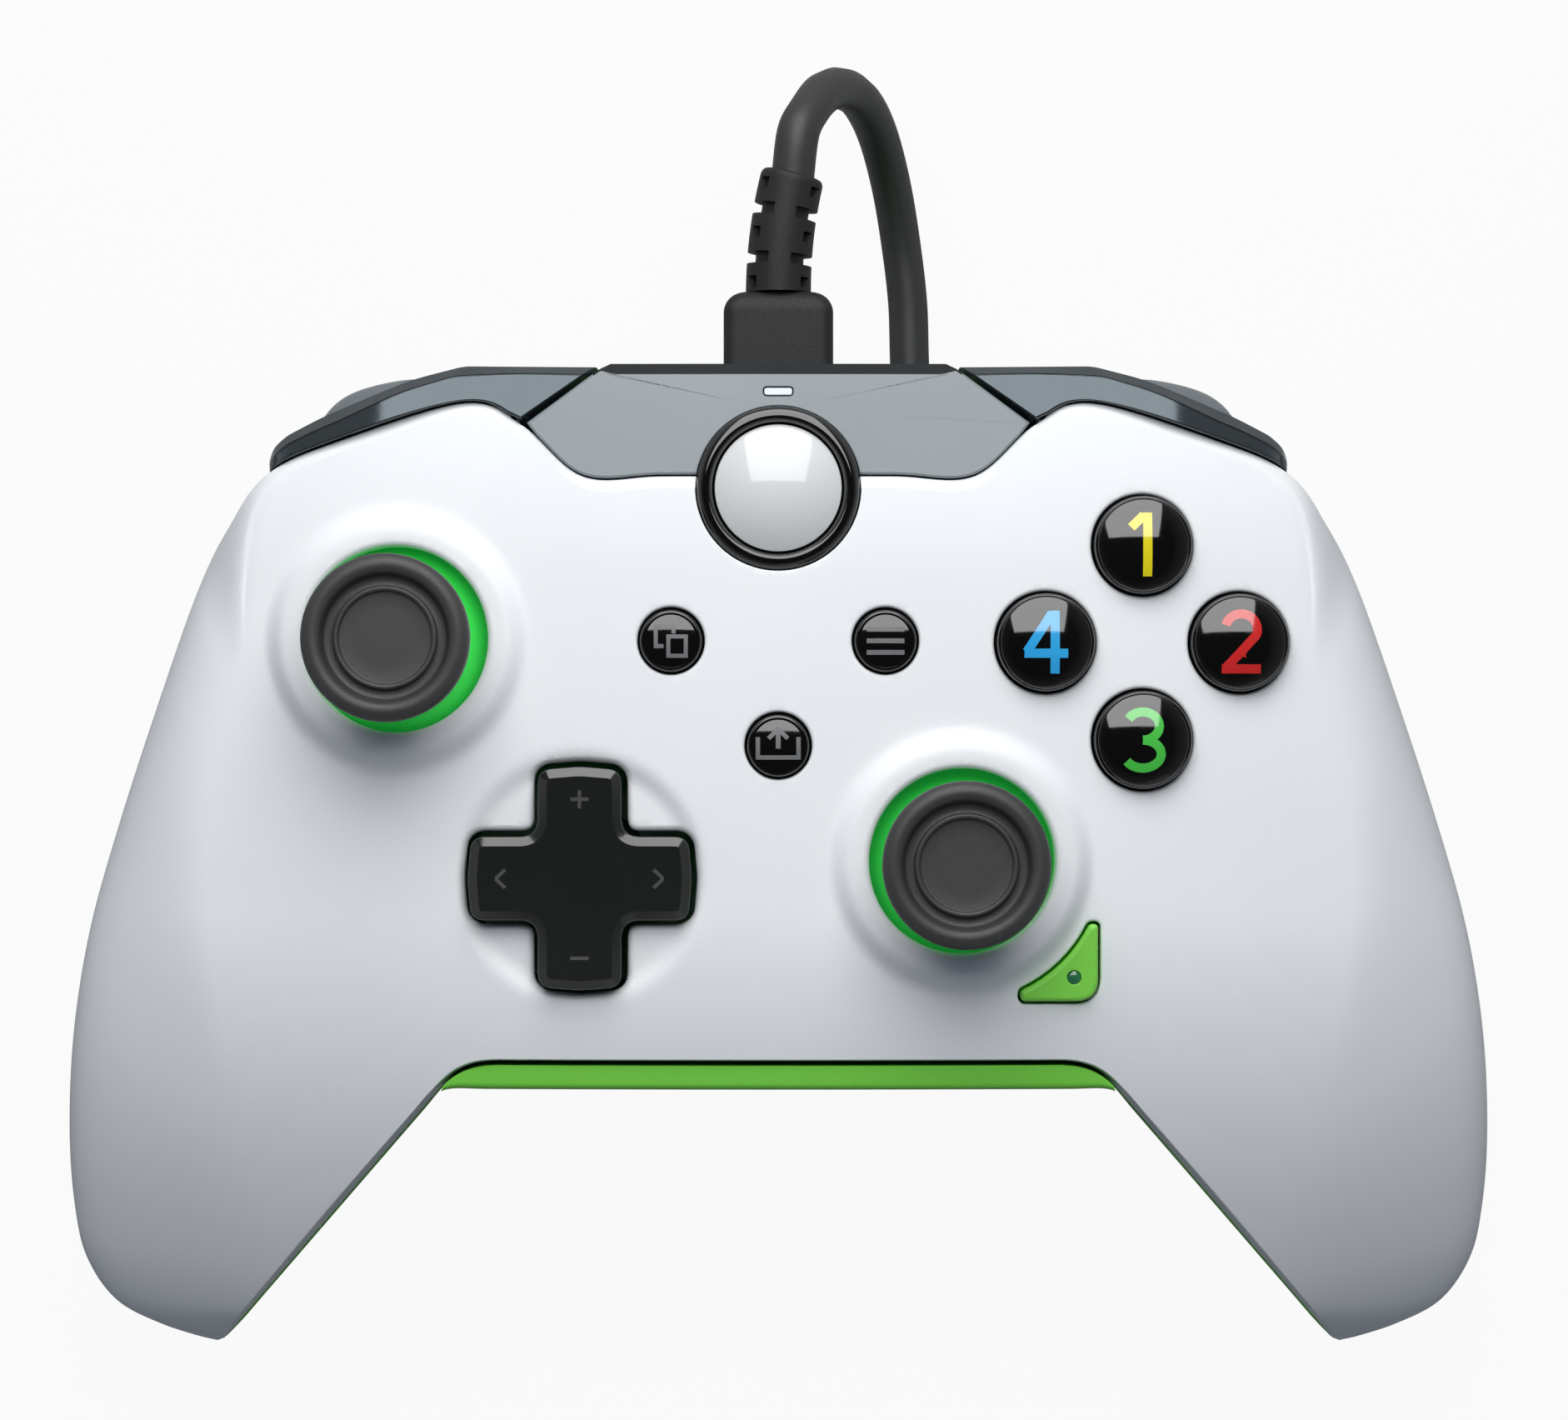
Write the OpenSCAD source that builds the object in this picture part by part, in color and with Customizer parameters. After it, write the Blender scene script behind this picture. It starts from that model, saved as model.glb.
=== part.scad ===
// Wired gamepad controller, lying on its back with its face up (+Z) and its cable side at +Y.
// The origin is on the table under the middle of the case. Sizes are in millimetres.

/* [Case] */
// Width across the grips
body_w = 152.6; // [148:0.2:160]
// Depth from the grip tips to the rear edge of the bridge
body_d = 105.2; // [104:0.2:110]
// Thickness of the case at the middle, from the belly to the face
case_t = 26.5; // [26:0.1:29]
// Height of the seam between the shells above the belly
seam_rise = 13; // [12.6:0.1:14]
// Wall of both shells
wall = 2.2; // [1.8:0.1:2.4]
// Gap along the seam between the shells
seam_gap = 0.2; // [0.1:0.05:0.4]
// How far the back shell shows in front of the front shell
strip_w = 3.6; // [2.5:0.1:4]
// How far the back shell shows along the inside of the grips
grip_line = 0.35; // [0.2:0.05:0.6]
// Gap between the case and a cover or a button that sits in it
fit_gap = 0.3; // [0.25:0.05:0.4]
// Running clearance of pins in their bores
pin_clear = 0.06; // [0.03:0.01:0.1]

/* [Rear covers] */
// Half width of the bridge at the rear edge
bridge_half = 18.6; // [16:0.2:20]
// Gap between the bridge and each bumper
divider_gap = 0.8; // [0.5:0.1:1]
// Radius of the rounded rear edge of the bridge
bridge_round = 1.6; // [1:0.2:3]
// Travel of a bumper, in degrees
bumper_turn = 2.2; // [1:0.1:2.4]
// Radius of the bumper pins
bumper_pin_r = 0.8; // [0.6:0.1:1]
// Width of a trigger
trigger_w = 19.4; // [17:0.2:20]
// Depth of the trigger pivot below the seam
trigger_drop = 1.3; // [1:0.1:1.6]
// Radius of the trigger pins
trigger_pin_r = 1.25; // [1:0.05:1.4]

/* [Sticks] */
// Radius of the stick holes
stick_hole_r = 9.65; // [9.3:0.05:10]
// Outer radius of the raised collars
collar_r = 12.1; // [11.6:0.1:12.6]
// Height of the collars above the face
collar_h = 1.1; // [0.6:0.1:1.4]
// Radius of a stick cap
cap_r = 8.55; // [8:0.05:8.8]
// Thickness of a stick cap
cap_t = 6; // [5:0.25:7]
// Height of the underside of a cap above the face
cap_rise = 5.4; // [5.2:0.1:6.5]
// Radius of the neck under a cap
neck_r = 3.3; // [3:0.1:3.6]
// Travel of the stick click
stick_click = 0.5; // [0.3:0.1:0.6]
// Height of the stick pivot above the board
stick_pivot_h = 5; // [4.8:0.1:5.4]

/* [Buttons] */
// Radius of the face buttons
face_button_r = 5.05; // [4.6:0.05:5.3]
// Distance of the face buttons from the middle of their diamond
diamond_r = 10.1; // [9.8:0.1:10.6]
// Travel of the face buttons
face_travel = 1.2; // [0.8:0.1:1.4]
// Height of the face buttons above the face
face_button_rise = 2.2; // [1.6:0.1:3]
// Radius of the small centre buttons
small_button_r = 3.2; // [2.8:0.1:3.6]
// Travel of the small buttons
small_travel = 0.8; // [0.5:0.1:1]
// Height of the small buttons above the face
small_button_rise = 0.7; // [0.4:0.1:1.2]
// Radius of the home button
home_r = 6.6; // [6:0.1:6.8]
// Outer radius of the ring round the home button
home_ring_r = 8.45; // [8.2:0.05:8.8]
// Length of a direction pad arm from the middle
dpad_arm = 11.55; // [11:0.05:12]
// Width of a direction pad arm
dpad_w = 8.6; // [8:0.1:9]
// Thickness of the direction pad
dpad_t = 3.6; // [3:0.1:4]
// Gap round the direction pad
dpad_gap = 0.55; // [0.5:0.05:0.7]
// Side of the function button
function_w = 8.2; // [7.6:0.1:8.6]

/* [Inside] */
// Height of the board posts above the floor
post_h = 5.7; // [5.6:0.1:6]
// Thickness of the main board
board_t = 1.6; // [1.2:0.1:1.8]
// Radius of the shell screw bosses
boss_r = 3.2; // [2.8:0.1:3.4]
// Radius of the shell screws
screw_r = 1.3; // [1:0.1:1.5]
// Radius of the headset jack's bore
jack_r = 1.8; // [1.75:0.05:1.9]
// Length of the headset jack's body
jack_l = 9.6; // [9:0.1:11]
// Radius of a rumble motor
motor_r = 5.6; // [5:0.1:6]
// Height of a rumble motor
motor_h = 14; // [12:0.5:15]

/* [Cable] */
// Diameter of the cord
cord_d = 4.6; // [4.4:0.05:4.6]
// Width of the plug body at the rear
plug_w = 11.7; // [10:0.1:12]
// Length of the plug body outside the case
plug_l = 8.2; // [6:0.2:9]
// Length of the strain relief
relief_l = 12.8; // [10:0.2:14]
// Radius of the strain relief at the plug
relief_r = 3.5; // [3:0.1:3.8]
// Width of the overmould of the far plug
usb_w = 15.6; // [14:0.2:15.6]
// Length of the overmould of the far plug
usb_l = 30; // [26:1:30]

/* [Hidden] */
$fn = 48;
eps = 0.01;
half_w = body_w / 2;
rear_y = body_d / 2;

// The plan is drawn for a case of this width and depth, and stretched to the size asked for
drawn = [152.6, 105.2];
function px(x) = x * body_w / drawn.x;
function py(y) = y * body_d / drawn.y;
function spot(p) = [px(p.x), py(p.y)];
function plan(l) = [for (p = l) spot(p)];

// Levels: the cord is put away in a coil under the belly, so the belly stands clear of its strap
cord_r = cord_d / 2;
cord_z = cord_r + 0.6;
coil_pitch = cord_d + 0.45;
coil_layers = 4;
tie_t = 0.5;
tie_h = cord_z + coil_pitch * (coil_layers - 1) + cord_r + 0.2;
belly_gap = 0.45;
belly_h = tie_h + tie_t + belly_gap;
seam_h = belly_h + seam_rise;
face_h = belly_h + case_t;
trigger_z = seam_h - trigger_drop;
white = [0.92, 0.93, 0.94];
green = [0.36, 0.72, 0.25];
grey = [0.5, 0.53, 0.55];
dark = [0.22, 0.23, 0.24];
black = [0.06, 0.06, 0.07];
steel = [0.7, 0.71, 0.73];

// Stations of the case run from the middle (0) to a grip tip (last_k).
// Each station joins a point of the rear and outer edge to one of the front and inner edge.
notch_y = py(40.8);
front_y = py(-20.1);
shell_rear = plan([[0, 40.8], [12, 40.8], [20.3, 40.8], [26.6, 46.1], [32.8, 48.5], [46.4, 44.4], [53.3, 41.3],
    [57.8, 36.6], [61.4, 30], [66.2, 16.7], [70.6, 3.3], [73.6, -7.4], [75.5, -18.3], [76.3, -29], [76.1, -37.3],
    [75.1, -43], [72.2, -47.8], [67.4, -50.6], [62.2, -52.4]]);
last_k = len(shell_rear) - 1;
grip_corner = spot([36, -23.9]);
grip_tip = spot([61, -52.6]);
function along_grip(t) = grip_corner + (grip_tip - grip_corner) * t;
shell_front = concat([for (x = [0, 10, 17, 22, 26.5]) [px(x), front_y]], plan([[31, -20.3], [33.8, -22]]),
    [for (k = [7 : last_k]) along_grip((k - 7) / (last_k - 7))]);
back_rear = concat(plan([[0, 51.4], [12, 51.4], [20.3, 51.4], [27, 51.4], [33, 50.6], [44, 46.4], [52, 42.6]]),
    [for (k = [7 : last_k]) shell_rear[k]]);
back_front = concat([for (k = [0 : 4]) shell_front[k] - [0, strip_w]],
    [spot([30.4, -20.1]) - [0, strip_w], spot([33.4, -20.2]) - [0, strip_w]],
    [for (k = [7 : last_k]) shell_front[k] + grip_line * [-0.75, -0.66] * (k < last_k ? 1 : 0)]);

function clamp01(t) = min(1, max(0, t));
function ease(a, b, t) = let (s = clamp01((t - a) / (b - a))) s * s * (3 - 2 * s);
function mix(a, b, t) = a + (b - a) * t;
// Rises from 0 to 1 along a quarter circle of radius r, at a distance d from an edge
function roll(d, r) = let (t = 1 - clamp01(d / r)) sqrt(1 - t * t);
function knot(p, i) = i < 0 ? [-p[-i].x, p[-i].y] : p[min(i, len(p) - 1)];
function curve(a, b, c, d, f) = 0.5 * (2 * b + (c - a) * f + (2 * a - 5 * b + 4 * c - d) * f * f
    + (3 * b - a - 3 * c + d) * f * f * f);
function spline(p, t) = let (i = min(floor(t), len(p) - 2))
    curve(knot(p, i - 1), knot(p, i), knot(p, i + 1), knot(p, i + 2), t - i);
function edge(p, k) = let (q = spline(p, abs(k))) [k < 0 ? -q.x : q.x, q.y];

// Heights of the face and of the seam
face_crown = 0.0009;
grip_fall = 0.0072;
grip_start = py(-5);
rear_fall = 0.004;
rear_start = py(30);
function top_z(x, y) = face_h - face_crown * x * x - grip_fall * pow(max(0, grip_start - y), 2)
    - rear_fall * pow(max(0, y - rear_start), 2);
seam_slope = 0.03;
seam_fall = 0.0036;
function seam_z(y) = seam_h + seam_slope * y - seam_fall * pow(min(y, 0), 2);

// Underside: flat belly in the middle, grips that come down to the table
grip_over = 4;
function grip_share(k) = ease(7.4, 10, abs(k));
// The grips come down less towards the rear and towards their tips
function depth_share(k) = (1 - 0.36 * (1 - ease(7, 9.6, k))) * (1 - 0.5 * ease(13, last_k, k));
function grip_low(base, k) = base - (base + grip_over) * depth_share(abs(k));

// A point of a shell at station k and share v of the way from the rear edge to the front edge
function chord(rear, front, k, inset, more) = let (a = edge(rear, k), b = edge(front, k), l = norm(b - a))
    [a + (b - a) * inset / l, b - (b - a) * (inset + more) / l];
// The rim of the back shell reaches in under the front shell, behind the strip that shows
function rim_in(k, inset) = inset > 0 ? strip_w * (1 - ease(5.5, 7, abs(k))) : 0;
function tip_roll(k) = roll((last_k - abs(k)) * 4.5, 8);
// Rounds of the face along the rear edge, over the shoulders and over the grips, and along the front edge
rear_round = 1.2;
shoulder_round = 13;
grip_round = 24;
front_round = 1.1;
function outer_round(k) = mix(mix(rear_round, shoulder_round, ease(5.5, 8, k)), grip_round, ease(8.6, 11.4, k));
function front_point(k, v, inset, reach) = let (c = chord(shell_rear, shell_front, k, inset, 0),
    l = norm(c[1] - c[0]), p = mix(c[0], c[1], v), base = seam_z(p.y) + seam_gap,
    g = roll(v * l, max(0.8, outer_round(abs(k)) - inset)) * roll((1 - v) * l, max(0.8, front_round - inset))
        * tip_roll(k / reach))
    [p.x, p.y, base + max(0, top_z(p.x, p.y) - inset - base) * g];
function back_point(k, v, inset, reach) = let (c = chord(back_rear, back_front, k, inset, rim_in(k, inset)),
    l = norm(c[1] - c[0]), p = mix(c[0], c[1], v), base = seam_z(p.y),
    low = mix(belly_h, grip_low(base, k), grip_share(k)),
    g = roll(v * l, mix(5, 17, ease(6, 9.5, abs(k))) - inset / 2)
        * roll((1 - v) * l, mix(5, 15, ease(6.5, 10, abs(k))) - inset / 2) * tip_roll(k / reach))
    [p.x, p.y, min(base, max(0, base - (base - low) * g) + inset)];

// A shell is a thick sheet: an outer grid, an inner grid set in by the wall, and a rim on the seam
stations = [for (k = [-last_k : 0.5 : last_k]) k];
shares = [0, 0.02, 0.05, 0.1, 0.16, 0.23, 0.31, 0.4, 0.5, 0.62, 0.74, 0.84, 0.92, 0.97, 0.99, 1];
inner_reach = 0.92;
nu = len(stations);
nv = len(shares);
function quad(a, b, c, d, flip) = flip ? [[a, c, b], [a, d, c]] : [[a, b, c], [a, c, d]];
function flat_list(l) = [for (a = l) for (b = a) b];
function sheet_faces(flip) = let (o = nu * nv) flat_list(concat(
    [for (i = [0 : nu - 2], j = [0 : nv - 2]) let (a = i * nv + j)
        quad(a, a + nv, a + nv + 1, a + 1, flip)],
    [for (i = [0 : nu - 2], j = [0 : nv - 2]) let (a = o + i * nv + j)
        quad(a, a + nv, a + nv + 1, a + 1, !flip)],
    [for (i = [0 : nu - 2]) let (a = i * nv) quad(a + nv, a, o + a, o + a + nv, flip)],
    [for (i = [0 : nu - 2]) let (a = i * nv + nv - 1) quad(a, a + nv, o + a + nv, o + a, flip)],
    [for (j = [0 : nv - 2]) quad(j, j + 1, o + j + 1, o + j, flip)],
    [for (j = [0 : nv - 2]) let (a = (nu - 1) * nv + j) quad(a + 1, a, o + a, o + a + 1, flip)]));

module front_sheet() {
    polyhedron(concat([for (k = stations, v = shares) front_point(k, v, 0, 1)],
        [for (k = stations, v = shares) front_point(k * inner_reach, v, wall, inner_reach)]),
        sheet_faces(false), convexity = 6);
}
module back_sheet() {
    polyhedron(concat([for (k = stations, v = shares) back_point(k, v, 0, 1)],
        [for (k = stations, v = shares) back_point(k * inner_reach, v, wall, inner_reach)]),
        sheet_faces(true), convexity = 6);
}

// Levels inside the case
floor_z = belly_h + wall;
board_z = floor_z + post_h;
deck = board_z + board_t;
function under_face(x, y) = top_z(x, y) - wall;

// Places on the face
home_at = spot([0, 39.5]);
light_at = [0, mix(home_at.y + home_ring_r, rear_y, 0.355)];
small_at = plan([[-11.1, 23.65], [11.1, 23.65], [0, 12.8]]);
diamond_at = spot([37.8, 23.5]);
face_at = [for (d = [[0, 1], [-1, 0], [1, 0], [0, -1]]) diamond_at + diamond_r * d];
dpad_at = spot([-20.5, -0.9]);
stick_at = plan([[-39.7, 23.8], [19.05, 0.8]]);
function_corner = stick_at[1] + [14.25, -14.6];
function_at = function_corner + function_w * [-0.28, 0.28];
boss_at = [for (s = [-1, 1], p = plan([[46, 4], [8.6, -10.2], [22, 35]])) [s * p.x, p.y]];
post_at = [for (s = [-1, 1], p = plan([[30, 12], [36, -8]])) [s * p.x, p.y]];

module at(p, z = 0) { translate([p.x, p.y, z]) children(); }
module along_x(at, l, r) { translate(at) rotate([0, 90, 0]) cylinder(h = l, r = r); }
module along_y(at, l, r) { translate(at) rotate([-90, 0, 0]) cylinder(h = l, r = r); }
module tube(h, r, bore) {
    difference() {
        cylinder(h = h, r = r);
        at([0, 0], -eps) cylinder(h = h + 2 * eps, r = bore);
    }
}
module rounded(w, h, r) {
    square([w - 2 * r, h], center = true);
    square([w, h - 2 * r], center = true);
    for (x = [-1, 1], y = [-1, 1]) translate([x * (w / 2 - r), y * (h / 2 - r)]) circle(r = r);
}
module both_sides() { children(); mirror([1, 0, 0]) children(); }

// The direction pad's outline, grown by g all round
dpad_round = 1.6;
module dpad_outline(g) {
    for (a = [0, 90]) rotate(a) rounded(2 * (dpad_arm + g), dpad_w + 2 * g, dpad_round);
}
// The function button: a corner that is hollowed round the right stick
function_round = 2.4;
function_hollow = 14.8;
module function_outline(g) {
    difference() {
        translate(function_corner + function_w / 2 * [-1, 1])
            rounded(function_w + 2 * g, function_w + 2 * g, function_round);
        translate(stick_at[1]) circle(r = function_hollow - g);
    }
}

// Rear covers
cover_low = seam_z(rear_y) + 1.4;
divider = [[bridge_half, rear_y - 0.3], shell_rear[3]];
pivot_x = shell_rear[3].x + 0.8;
pin_back = rear_y - 1.2;
pin_front = shell_rear[3].y - 1.7;
trigger_x = px(40.3);
trigger_y = py(38.2);

module front_shell() {
    color(white) difference() {
        union() {
            front_sheet();
            for (p = stick_at) at(p, under_face(p.x + collar_r, p.y) + 1) {
                cylinder(h = top_z(p.x, p.y) + collar_h - under_face(p.x + collar_r, p.y) - 1,
                    r = collar_r - 1);
            }
            for (p = boss_at) at(p, floor_z + 0.5) {
                cylinder(h = under_face(abs(p.x) + boss_r, p.y) - floor_z + 0.3, r = boss_r);
            }
        }
        for (p = stick_at) at(p, deck) cylinder(h = face_h, r = stick_hole_r);
        for (p = face_at) at(p, deck) cylinder(h = face_h, r = face_button_r + fit_gap);
        for (p = small_at) at(p, deck) cylinder(h = face_h, r = small_button_r + fit_gap);
        at(home_at, deck) cylinder(h = face_h, r = home_ring_r + fit_gap / 2);
        at(dpad_at, deck) linear_extrude(face_h) dpad_outline(dpad_gap);
        at([0, 0], deck) linear_extrude(face_h) function_outline(fit_gap);
        for (p = boss_at) at(p, floor_z) cylinder(h = screw_grip, r = screw_r + pin_clear);
        both_sides() along_y([pivot_x, pin_front - 1, pivot_z], 8, bumper_pin_r + pin_clear);
    }
}

// Trigger windows in the back shell run from the pivot's rear side to the open air
window_y = trigger_y + 0.6;
screw_grip = 12;
screw_head_r = 2.5;
screw_head_t = 1.4;
jack_z = floor_z + 2.9;
jack_body = 5.6;
jack_half = 3.4;
jack_nose_r = 2.9;
jack_front = front_y + strip_w + 0.6;
port_z = deck + 1.75;
port_w = 9.4;
port_h = 4.4;

// The back shell stands up in front of the front shell as a strip that shows, a little below the face
lip_drop = 1.7;
lip_round = 1.2;
lip_end = 6.1;
module front_lip() {
    top = top_z(0, front_y) - lip_drop;
    low = seam_z(front_y - strip_w) - wall / 2;
    outer = front_y - strip_w;
    bow = [outer + lip_round, top - lip_round];
    profile = concat([[front_y + 1, low], [front_y + 1, top]],
        [for (a = [90 : 15 : 180]) bow + lip_round * [cos(a), sin(a)]], [[outer, low]]);
    stretch = concat([for (k = [-lip_end : 0.2 : lip_end]) edge(back_front, k)],
        [for (k = [lip_end : -0.2 : -lip_end]) edge(shell_front, k) - [0, fit_gap / 2]]);
    intersection() {
        linear_extrude(face_h) polygon(stretch);
        translate([-half_w, 0, 0]) rotate([90, 0, 90]) linear_extrude(body_w) polygon(profile);
    }
}
module back_shell() {
    color(green) difference() {
        union() {
            back_sheet();
            front_lip();
            for (p = post_at) at(p, belly_h + wall / 2) cylinder(h = post_h + wall / 2, r = 2.8);
        }
        both_sides() translate([bracket_in, window_y, 0])
            cube([bracket_out + ear_t + fit_gap - bracket_in, rear_y, face_h]);
        translate([-port_w / 2, notch_y, port_z - port_h / 2]) cube([port_w, rear_y, port_h]);
        along_y([0, 2 * front_y, jack_z], jack_front + 1 - 2 * front_y, jack_nose_r + fit_gap);
        both_sides() translate([bracket_in - fit_gap, plate_front - fit_gap, floor_z])
            cube([bracket_out + ear_t - bracket_in + 2 * fit_gap, window_y - plate_front + 1, seam_rise]);
        translate([-jack_half - fit_gap, jack_front - fit_gap, floor_z])
            cube([2 * (jack_half + fit_gap), jack_l, seam_rise]);
        for (p = boss_at) at(p, 0) {
            cylinder(h = face_h, r = screw_r + fit_gap);
            cylinder(h = belly_h + screw_head_t + 0.1, r = screw_head_r + fit_gap);
        }
        for (p = post_at) at(p, belly_h + wall + 1) cylinder(h = post_h, r = board_screw_r);
    }
}

// The bridge fills the notch of the front shell and rounds over the rear edge
module bridge() {
    top_front = top_z(0, notch_y) - 0.4;
    top_rear = top_front - 1;
    arc_at = [rear_y - bridge_round, top_rear - bridge_round];
    profile = concat([[notch_y - 3, cover_low], [notch_y - 3, top_front]],
        [for (a = [90 : -15 : 0]) arc_at + bridge_round * [cos(a), sin(a)]], [[rear_y, cover_low]]);
    side = divider - [[divider_gap / 2, 0], [divider_gap / 2, -fit_gap]];
    plan = concat([for (k = [-2.8 : 0.4 : 2.8]) edge(shell_rear, k) + [0, fit_gap]],
        [side[1], side[0], [side[0].x - 0.6, rear_y], [0.6 - side[0].x, rear_y],
            [-side[0].x, side[0].y], [-side[1].x, side[1].y]]);
    color(grey) difference() {
        intersection() {
            linear_extrude(face_h) polygon(plan);
            translate([-half_w, 0, 0]) rotate([90, 0, 90]) linear_extrude(body_w) polygon(profile);
        }
        at(home_at) cylinder(h = 2 * face_h, r = home_ring_r + fit_gap / 2);
        at(light_at, top_rear - light_t) linear_extrude(face_h) rounded(light_w, light_h, light_h / 2 - eps);
    }
}
light_w = 3.2;
light_h = 0.95;
light_t = 1.6;
module status_light() {
    top_rear = top_z(0, notch_y) - 1.4;
    color(white) at(light_at, top_rear - light_t) linear_extrude(light_t - 0.1)
        rounded(light_w - 0.1, light_h - 0.1, light_h / 2 - 0.06);
}

// A bumper follows the rear edge of the front shell and slopes down to its outer end
bumper_end = spot([52.8, 44.6]);
bumper_knee = [px(32.8), rear_y - 0.2];
bumper_low = cover_low + 0.5;
bumper_top = face_h - 1.8;
bumper_fall = 3.4;
pivot_z = (bumper_low + bumper_top - bumper_fall) / 2;
module bumper_right() {
    plan = concat([divider[0] + [divider_gap / 2, 0], divider[1] + [divider_gap / 2 + 0.2, 0.7]],
        [for (k = [3.3 : 0.3 : 6]) edge(shell_rear, k) + [0, fit_gap + 0.1]],
        [bumper_end, bumper_knee, [divider[0].x + divider_gap / 2, bumper_knee.y]]);
    slope = [[0, bumper_low], [half_w, bumper_low], [half_w, bumper_top - 2 * bumper_fall],
        [bumper_end.x, bumper_top - bumper_fall], [bumper_knee.x, bumper_top - 0.5], [0, bumper_top]];
    difference() {
        intersection() {
            linear_extrude(face_h) polygon(plan);
            translate([0, body_d, 0]) rotate([90, 0, 0]) linear_extrude(body_d) polygon(slope);
        }
        along_y([pivot_x, pin_front, pivot_z], pin_back - pin_front + fit_gap, bumper_pin_r + pin_clear);
    }
}
module left_bumper() { color(dark) mirror([1, 0, 0]) bumper_right(); }
module right_bumper() { color(dark) bumper_right(); }
module bumper_pins() {
    color(steel) both_sides() along_y([pivot_x, pin_front, pivot_z], pin_back - pin_front, bumper_pin_r);
}

// A trigger hangs from its pivot and curves down behind the case
lug_r = 2.9;
lug_w = 13.6;
trigger_round = 5.2;
lug_t = 3.4;
trigger_low = belly_h - 5.9;
paddle_y = py(45.6);
module trigger_right() {
    left = trigger_x - trigger_w / 2;
    plan = concat([[left, notch_y - 10], [left + trigger_w, notch_y - 10], [left + trigger_w, py(46.2)]],
        plan([[49.3, 47.9], [48.5, 48.9], [47.3, 49.9], [45.4, 50.9], [41.7, 51.9]]), [[left, rear_y - 0.6]]);
    back = rear_y - 0.5;
    top = seam_z(paddle_y) - fit_gap;
    bow = [back - trigger_round, top - trigger_round];
    hook = [[-0.6, 8.4], [-3, 3], [-5.4, 0.4], [-7, 0], [-7.6, 1], [-5.2, 6.4]];
    paddle = concat([[paddle_y, top], [back - trigger_round, top]],
        [for (a = [75 : -15 : 0]) bow + trigger_round * [cos(a), sin(a)]],
        [for (p = hook) [back + p.x, trigger_low + p.y]],
        [[paddle_y, trigger_low + 12]]);
    arm = [[trigger_y, trigger_z - lug_r], [paddle_y + 1, trigger_low + 13], [paddle_y + 1, top - 0.2],
        [trigger_y, trigger_z + lug_r * 0.7]];
    difference() {
        union() {
            intersection() {
                linear_extrude(face_h) polygon(plan);
                translate([left, 0, 0]) rotate([90, 0, 90]) linear_extrude(trigger_w) polygon(paddle);
            }
            for (x = [left + ear_gap, left + ear_gap + lug_w - lug_t]) {
                translate([x, 0, 0]) rotate([90, 0, 90]) linear_extrude(lug_t) polygon(arm);
                along_x([x, trigger_y, trigger_z], lug_t, lug_r);
            }
        }
        along_x([left - 1, trigger_y, trigger_z], trigger_w + 2, trigger_pin_r + pin_clear);
    }
}
module left_trigger() { color(dark) mirror([1, 0, 0]) trigger_right(); }
module right_trigger() { color(dark) trigger_right(); }

// Bracket with two ears that hold the trigger pin
ear_t = 1.3;
ear_gap = 0.4;
ear_half = 2.1;
plate_t = 1.5;
plate_front = trigger_y - 6.2;
bracket_in = trigger_x - trigger_w / 2 - ear_gap - ear_t;
bracket_out = trigger_x + trigger_w / 2 + ear_gap;
module bracket_right() {
    difference() {
        union() {
            translate([bracket_in, plate_front, floor_z + 0.05])
                cube([trigger_w / 2 + trigger_x - 4.5 - bracket_in, window_y - 0.2 - plate_front, plate_t]);
            for (x = [bracket_in, bracket_out]) {
                translate([x, trigger_y - ear_half, floor_z + 0.05])
                    cube([ear_t, 2 * ear_half, trigger_z - floor_z]);
                along_x([x, trigger_y, trigger_z], ear_t, ear_half);
            }
            translate([bracket_in, plate_front, floor_z + plate_t - 0.5])
                cube([bracket_out + ear_t - bracket_in, 3.6, plate_t]);
            translate([bracket_out, plate_front, floor_z + plate_t - 0.5])
                cube([ear_t, trigger_y - plate_front, plate_t]);
        }
        along_x([bracket_in - 1, trigger_y, trigger_z], trigger_w + 6, trigger_pin_r + pin_clear);
    }
}
module trigger_brackets() { color(black) both_sides() bracket_right(); }
module trigger_pins() {
    color(steel) both_sides()
        along_x([bracket_in + 0.1, trigger_y, trigger_z], bracket_out + ear_t - bracket_in - 0.2, trigger_pin_r);
}

// Tubes swept along a list of points
function unit(v) = v / norm(v);
function heading(p, i) = unit(p[min(i + 1, len(p) - 1)] - p[max(i - 1, 0)]);
function ring_at(p, t, ref, r, n) = let (a = unit(cross(t, ref)), b = cross(t, a))
    [for (j = [0 : n - 1]) p + r * (cos(360 * j / n) * a + sin(360 * j / n) * b)];
module sweep(p, ref, r, n, first, last) {
    m = len(p);
    rings = flat_list([for (i = [0 : m - 1])
        ring_at(p[i], i == 0 ? first : i == m - 1 ? last : heading(p, i), ref, r, n)]);
    sides = flat_list([for (i = [0 : m - 2], j = [0 : n - 1]) let (a = i * n + j, b = i * n + (j + 1) % n)
        quad(a, a + n, b + n, b, false)]);
    caps = concat([for (j = [1 : n - 2]) [0, j, j + 1]],
        [for (j = [1 : n - 2]) let (o = (m - 1) * n) [o, o + j + 1, o + j]]);
    polyhedron(rings, concat(sides, caps), convexity = 10);
}
// A smooth line of n steps between each two points
function smooth(p, n) = concat([for (i = [0 : len(p) - 2], s = [0 : n - 1])
    curve(p[max(i - 1, 0)], p[i], p[i + 1], p[min(i + 2, len(p) - 1)], s / n)], [p[len(p) - 1]]);

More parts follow.
